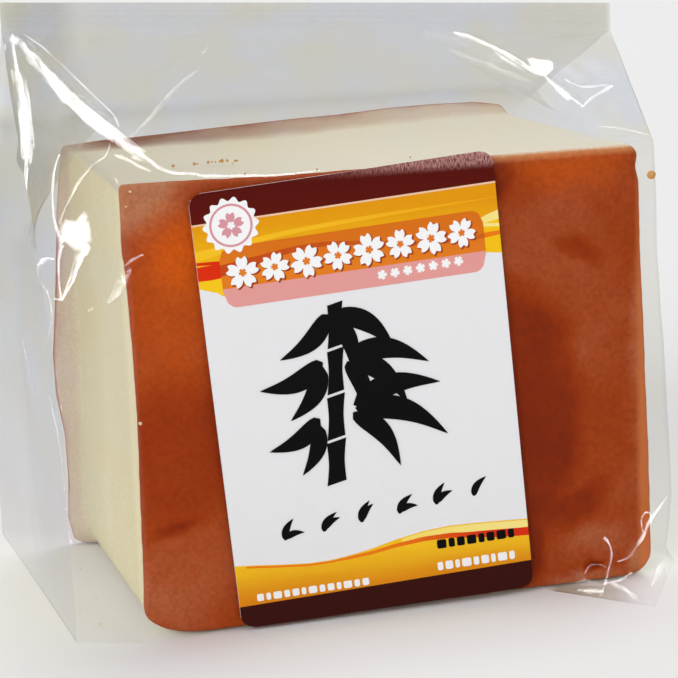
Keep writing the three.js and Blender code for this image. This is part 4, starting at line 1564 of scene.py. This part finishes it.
# %% Blossoms and roundel
def blossom(x, y, radius, turn, petals=5):
    """A five-petalled blossom, each petal notched at its tip."""
    def reach(angle):
        petal = abs(math.cos(petals * angle / 2))
        notch = 0.22 * max(0.0, petal - 0.9) / 0.1
        return radius * (0.42 + 0.58 * petal ** 0.7 - notch)

    return around((x, y), reach, petals * 12, turn)


BLOSSOMS = 8
for k in range(BLOSSOMS):
    x = 7.6 + k * 5.55
    y = 63.1 + 0.18 * k
    size = 2.75 if k % 2 else 3.05
    print_shape("rust_shadow_ink", 7, blossom(x + 0.22, y - 0.22, size + 0.12, 0.3 + k))
    print_shape("white_ink", 8, blossom(x, y, size, 0.3 + k))
    print_shape("orange_veil_ink", 9, blossom(x, y, size * 0.26, 0.9 + k))
SMALL_BLOSSOMS = 7
for k in range(SMALL_BLOSSOMS):
    print_shape("white_ink", 8, blossom(31.6 + k * 2.3, 59.2 + 0.07 * k, 0.95, k))

ROUNDEL = (6.6, 71.4)
print_shape("white_ink", 8, around(ROUNDEL, lambda a: 4.5 + 0.35 * math.cos(14 * a), 140))
for radius, colour, layer in ((3.7, "rose_ink", 9), (3.3, "white_ink", 10)):
    print_shape(colour, layer, around(ROUNDEL, lambda a: radius, 48))
print_shape("rose_ink", 11, blossom(*ROUNDEL, 2.4, 0.3))
print_shape("white_ink", 12, blossom(*ROUNDEL, 0.8, 0.9))


# %% Short bars
def rounded_box(left, bottom, right, top, radius, points=3):
    """An anticlockwise rounded rectangle."""
    corners = [
        (right - radius, bottom + radius, -90), (right - radius, top - radius, 0),
        (left + radius, top - radius, 90), (left + radius, bottom + radius, 180),
    ]
    outline = []
    for x, y, start in corners:
        turns = [math.radians(start + 90 * k / points) for k in range(points + 1)]
        outline += [(x + radius * math.cos(turn), y + radius * math.sin(turn)) for turn in turns]
    return outline


BARS = [  # ink, layer, first x, first y, length of the row, height, rise per mm, widths repeated along it
    ("white_ink", 8, 3.2, 5.3, 20.5, 1.3, 0.004, (1.2, 0.8, 1.5, 1.0)),
    ("black_brush_ink", 8, 36.3, 10.2, 13.6, 1.6, 0.01, (1.7, 1.1, 1.4)),
    ("white_ink", 8, 36.0, 6.2, 14.2, 1.5, 0.01, (1.0, 1.4, 0.8, 1.7)),
]
BAR_GAP, BAR_CORNER = 0.45, 0.3
for colour, layer, x, y, length, height, rise, widths in BARS:
    reach, k = 0.0, 0
    while reach < length:
        wide = widths[k % len(widths)]
        foot = y - height / 2 + rise * reach
        print_shape(colour, layer, rounded_box(x + reach, foot, x + reach + wide, foot + height, BAR_CORNER))
        reach += wide + BAR_GAP
        k += 1
print(len(printed_parts), "printed parts so far")


# %% Bamboo in brush strokes
def brush_leaf(x, y, length, width, angle, bend=0.12):
    """A leaf as one brush stroke: a round start, a full belly and a long fine tip."""
    turn = math.radians(angle)
    spine, sides = np.linspace(0, 1, 15), []
    belly = np.sin(math.pi * spine ** 0.62) ** 0.85 + 0.12 * (1 - spine)
    for side in (-1, 1):
        half = width / 2 * belly * (1 - 0.1 * side)
        curve = bend * length * np.sin(math.pi * spine)
        sides.append(np.stack([spine * length, curve + side * half], axis=1))
    outline = np.concatenate([sides[0], sides[1][-2:0:-1]])
    rotation = np.array([[math.cos(turn), math.sin(turn)], [-math.sin(turn), math.cos(turn)]])
    return outline @ rotation + (x, y)


def brush_stalk(x, y, length, width, lean):
    """One joint of the stalk, waisted in the middle and swollen at its ends."""
    spine = np.linspace(0, 1, 13)
    half = width / 2 * (0.82 + 0.5 * np.abs(spine - 0.5) ** 1.5)
    left = np.stack([x + lean * spine * length - half, y + spine * length], axis=1)
    right = np.stack([x + lean * spine * length + half, y + spine * length + 0.2 * width], axis=1)
    return np.concatenate([right, left[::-1]])


STALK = {"foot": (19.6, 23.6), "joints": 4, "length": 7.5, "width": 3.5, "gap": 0.55, "lean": 0.1}
for k in range(STALK["joints"]):
    climb = k * (STALK["length"] + STALK["gap"])
    foot_x, foot_y = STALK["foot"][0] + STALK["lean"] * climb, STALK["foot"][1] + climb
    print_shape("black_brush_ink", 8 + 0.3 * k, brush_stalk(
        foot_x, foot_y, STALK["length"], STALK["width"] * (1 - 0.07 * k), STALK["lean"]))

LEAVES = [  # x, y, length, width, angle
    (22.6, 54.0, 12.5, 3.4, -38), (22.4, 53.4, 11.0, 3.0, -78), (21.6, 53.6, 11.5, 3.2, 215),
    (24.2, 46.6, 14.5, 3.6, -14), (24.4, 46.0, 13.5, 3.5, -46), (24.0, 45.2, 11.0, 3.0, -80),
    (19.6, 45.4, 12.0, 3.4, 196), (19.6, 44.8, 11.0, 3.2, 232),
    (24.0, 37.6, 16.0, 3.8, 6), (24.4, 37.0, 17.5, 4.0, -24), (24.0, 36.2, 13.0, 3.4, -56),
    (18.0, 35.6, 10.5, 3.1, 205), (17.8, 34.8, 9.5, 2.8, 245),
]
for k, leaf in enumerate(LEAVES):
    print_shape("black_brush_ink", 9.5 + 0.3 * k, brush_leaf(*leaf))

MARKS = 6
for k in range(MARKS):
    x, y = 9.2 + k * 6.9, 15.0 + 0.62 * k
    print_shape("black_brush_ink", 8, brush_leaf(x, y, 4.2, 1.25, 62 - 14 * (k % 2)))
    print_shape("black_brush_ink", 8.4, brush_leaf(x + 0.3, y + 0.5, 3.4, 1.1, 8 + 20 * (k % 3)))
print(len(printed_parts), "printed parts")


# %% Join the label
def joined(name, parts):
    """One object from parts of (material, points, faces), with each point's place on the label as its UV."""
    materials = list(dict.fromkeys(material for material, _, _ in parts))
    points, faces, slots = [], [], []
    for material, part_points, part_faces in parts:
        faces += [[i + len(points) for i in face] for face in part_faces]
        slots += [materials.index(material)] * len(part_faces)
        points += part_points.tolist()
    made = mesh_object(name, points, faces, materials, smooth=False)
    made.data.polygons.foreach_set("material_index", slots)
    layer = made.data.uv_layers.new(name="print")
    low_x, low_z = LABEL_CORNERS["bottom left"]
    lean = (LABEL_CORNERS["top left"][0] - low_x) / HEIGHT
    for loop in made.data.loops:
        x, _, z = np.array(made.data.vertices[loop.vertex_index].co) / MM
        upward = (z - low_z) / HEIGHT
        layer.data[loop.index].uv = ((x - low_x - lean * upward * HEIGHT) / WIDTH, upward)
    return made


label_sheet = joined("label_sheet", [(ink["coated_label_paper"], *field(
    0, HEIGHT, 0, WIDTH, 0, FACE, rows=78, columns=54))])
label_print = joined("label_print", [(ink[name], points, faces) for name, points, faces in printed_parts])
print("label:", len(label_sheet.data.polygons), "and", len(label_print.data.polygons), "faces")

# %% [markdown]
# ## Loose crumbs
#
# A few brown crumbs lie on the cake and some light ones cling to the film. They are one small rough ball
# instanced by Geometry Nodes on a handful of points, with a random turn and size and a fixed seed, and then
# made real, because an instance isn't a mesh that can be passed on.

# %% Crumbs by Geometry Nodes
CAKE_TOP_Z = 78.35  # of the crumbs that lie on the cake
BROWN_CRUMBS = [
    (-33.1, -12.5), (-32.9, -12.0), (-29.3, -12.1), (-28.8, -12.2), (-26.6, -11.2), (-25.9, -11.0),
    (-25.3, -11.1), (-24.4, -10.7), (-24.0, -10.6), (-23.2, -11.0), (-22.0, -11.9), (-21.6, -11.7),
    (-24.6, -29.5), (-12.5, -30.3), (-23.4, -15.6), (31.0, -29.6), (6.0, -24.0),
]
CLINGING_CRUMB = (48.7, -29.4, 72.8)  # a bigger brown one, held against the cake's side by the film
CLINGING_SIZE = 3.2  # times the size of the others
LIGHT_CRUMBS = [
    (-44.5, -31.3, 77.1), (-45.3, -31.2, 74.7), (-45.0, -31.3, 38.2), (-52.0, -20.0, 0.4),
    (-50.0, -6.0, 0.4), (-54.0, -12.0, 0.5), (-49.5, 12.0, 0.4),
]


def pattern_tree(name, inputs):
    """An empty Geometry Nodes tree with these named inputs, their sockets and its last node."""
    tree = bpy.data.node_groups.new(name, "GeometryNodeTree")
    for label, kind in {"Geometry": "Geometry", **inputs}.items():
        tree.interface.new_socket(label, in_out="INPUT", socket_type="NodeSocket" + kind)
    tree.interface.new_socket("Geometry", in_out="OUTPUT", socket_type="NodeSocketGeometry")
    return tree, add(tree, "NodeGroupInput").outputs, add(tree, "NodeGroupOutput")


def crumb_tree(name, material):
    """Geometry Nodes that put a rough ball on each point, real and in one material."""
    tree, given, result = pattern_tree(name, {"Crumb Size": "Float", "Seed": "Int"})
    ball = add(tree, "GeometryNodeMeshIcoSphere", {"Radius": given["Crumb Size"], "Subdivisions": 3})
    turn = add(
        tree, "FunctionNodeRandomValue",
        {0: (0, 0, 0), 1: (math.tau,) * 3, "Seed": given["Seed"]}, data_type="FLOAT_VECTOR",
    )
    spread = add(tree, "FunctionNodeRandomValue", {2: 0.55, 3: 1.3, "Seed": given["Seed"]})
    bulk = add(tree, "GeometryNodeInputNamedAttribute", {"Name": "bulk"}, data_type="FLOAT")
    size = add(tree, "ShaderNodeMath", {0: spread, 1: bulk}, operation="MULTIPLY")
    placed = add(
        tree, "GeometryNodeInstanceOnPoints",
        {"Points": given["Geometry"], "Instance": ball, "Rotation": turn, "Scale": size},
    )
    real = add(tree, "GeometryNodeRealizeInstances", {0: placed})
    lumps = add(tree, "ShaderNodeTexNoise", {"Scale": 1 / (0.3 * MM), "Detail": 2.0})
    push = add(
        tree, "ShaderNodeVectorMath",
        {0: lumps.outputs["Color"], 1: (0.3 * MM,) * 3, 2: (-0.15 * MM,) * 3}, operation="MULTIPLY_ADD",
    )
    rough = add(tree, "GeometryNodeSetPosition", {"Geometry": real, "Offset": push})
    painted = add(tree, "GeometryNodeSetMaterial", {"Geometry": rough, "Material": material})
    tree.links.new(painted.outputs[0], result.inputs[0])
    return tree


def made_real(name, points_mm, tree, values, bulks=()):
    """A plain mesh from a node tree applied to bare points, with the tree's named inputs set."""
    seed_points = mesh_object(name + "_points", points_mm, [], [])
    if bulks:
        seed_points.data.attributes.new("bulk", "FLOAT", "POINT").data.foreach_set("value", bulks)
    modifier = seed_points.modifiers.new("pattern", "NODES")
    modifier.node_group = tree
    for item in tree.interface.items_tree:
        if item.in_out == "INPUT" and item.name in values:
            modifier[item.identifier] = values[item.name]
    graph = bpy.context.evaluated_depsgraph_get()
    mesh = bpy.data.meshes.new_from_object(seed_points.evaluated_get(graph))
    made = bpy.data.objects.new(name, mesh)
    bpy.context.scene.collection.objects.link(made)
    bpy.data.objects.remove(seed_points)
    return made


def crumb_finish(name, dark, light):
    material, tree, surface = empty_material(name)
    place = add(tree, "ShaderNodeTexCoord").outputs["Object"]
    speckle = add(tree, "ShaderNodeTexNoise", {"Vector": place, "Scale": 1 / (0.4 * MM), "Detail": 2.0})
    colour = add(tree, "ShaderNodeMix", {0: speckle, 6: linear(dark), 7: linear(light)}, data_type="RGBA")
    shader = add(tree, "ShaderNodeBsdfPrincipled", {"Base Color": colour, "Roughness": 0.8})
    tree.links.new(shader.outputs[0], surface)
    return material


brown_crumbs = made_real(
    "brown_crumbs", [(x, y, CAKE_TOP_Z) for x, y in BROWN_CRUMBS] + [CLINGING_CRUMB],
    crumb_tree("brown_crumb_pattern", crumb_finish("baked_skin_crumb", "#b87e40", "#dca65c")),
    {"Crumb Size": 0.24 * MM, "Seed": 4}, [1.0] * len(BROWN_CRUMBS) + [CLINGING_SIZE],
)
light_crumbs = made_real(
    "light_crumbs", LIGHT_CRUMBS,
    crumb_tree("light_crumb_pattern", crumb_finish("sponge_crumb", "#e8c890", "#f6e8c4")),
    {"Crumb Size": 0.22 * MM, "Seed": 9}, [1.0] * len(LIGHT_CRUMBS),
)
print("crumbs:", len(brown_crumbs.data.polygons), "and", len(light_crumbs.data.polygons), "faces")

# %% [markdown]
# ## Heat-seal ribs
#
# The header is closed by heated jaws that press fine ribs across the strip. They repeat at an even pitch, so
# a Geometry Nodes tree makes one rib along the strip and copies it upwards on a line of points.

# %% Heat-seal ribs by Geometry Nodes
RIBS = {"count": 4, "pitch": 1.1, "radius": 0.22, "first": 0.9, "end_margin": 0.8}


def rib_tree():
    inputs = {"Start": "Vector", "End": "Vector", "Pitch": "Float", "Radius": "Float", "Count": "Int"}
    tree, given, result = pattern_tree("heat_seal_pattern", inputs)
    line = add(tree, "GeometryNodeCurvePrimitiveLine", {"Start": given["Start"], "End": given["End"]})
    finer = add(tree, "GeometryNodeResampleCurve", {"Curve": line, "Count": 40})
    profile = add(tree, "GeometryNodeCurvePrimitiveCircle", {"Radius": given["Radius"], "Resolution": 8})
    rib = add(
        tree, "GeometryNodeCurveToMesh", {"Curve": finer, "Profile Curve": profile, "Fill Caps": True},
    )
    step = add(tree, "ShaderNodeCombineXYZ", {"Z": given["Pitch"]})
    stack = add(tree, "GeometryNodeMeshLine", {"Count": given["Count"], "Offset": step}, mode="OFFSET")
    copies = add(tree, "GeometryNodeInstanceOnPoints", {"Points": stack, "Instance": rib})
    real = add(tree, "GeometryNodeRealizeInstances", {0: copies})
    painted = add(tree, "GeometryNodeSetMaterial", {"Geometry": real, "Material": film_finish})
    tree.links.new(painted.outputs[0], result.inputs[0])
    return tree


rib_ends = [
    Vector(seal_point(x, 0)) + Vector((0, 0, RIBS["first"]))
    for x in (SEAL["left"][0] + RIBS["end_margin"], SEAL["right"][0] - RIBS["end_margin"])
]
seal_ribs = made_real(
    "heat_seal_ribs", [(0, 0, 0)], rib_tree(),
    {
        "Start": rib_ends[0] * MM, "End": rib_ends[1] * MM, "Pitch": RIBS["pitch"] * MM,
        "Radius": RIBS["radius"] * MM, "Count": RIBS["count"],
    },
)
seal_ribs.visible_shadow = False
print("heat-seal ribs:", len(seal_ribs.data.polygons), "faces")

# %% [markdown]
# ## Tie the pieces to the imported model
#
# The pack has no moving parts, so everything rides on the one body. The film, with the cake in it, stands
# for the solid bag, and the printed label for the plain plate.

# %% Bodies and replaced solids
# Each piece, the solid that it stands for and its slot. The print lies on the sheet and stands for none.
PIECES = [
    (castella_block, "sealed_bag", "sponge"),
    (brown_crumbs, "sealed_bag", "crust"),
    (light_crumbs, "sealed_bag", "sponge"),
    (film_bag, "sealed_bag", "clear_film"),
    (film_pleats, "sealed_bag", "clear_film"),
    (seal_ribs, "sealed_bag", "clear_film"),
    (label_sheet, "front_label", "label_paper"),
    (label_print, None, "label_paper"),
]
for piece, solid, slot in PIECES:
    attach(piece, "root")
    if solid:
        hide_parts(solid)

bpy.context.view_layer.update()
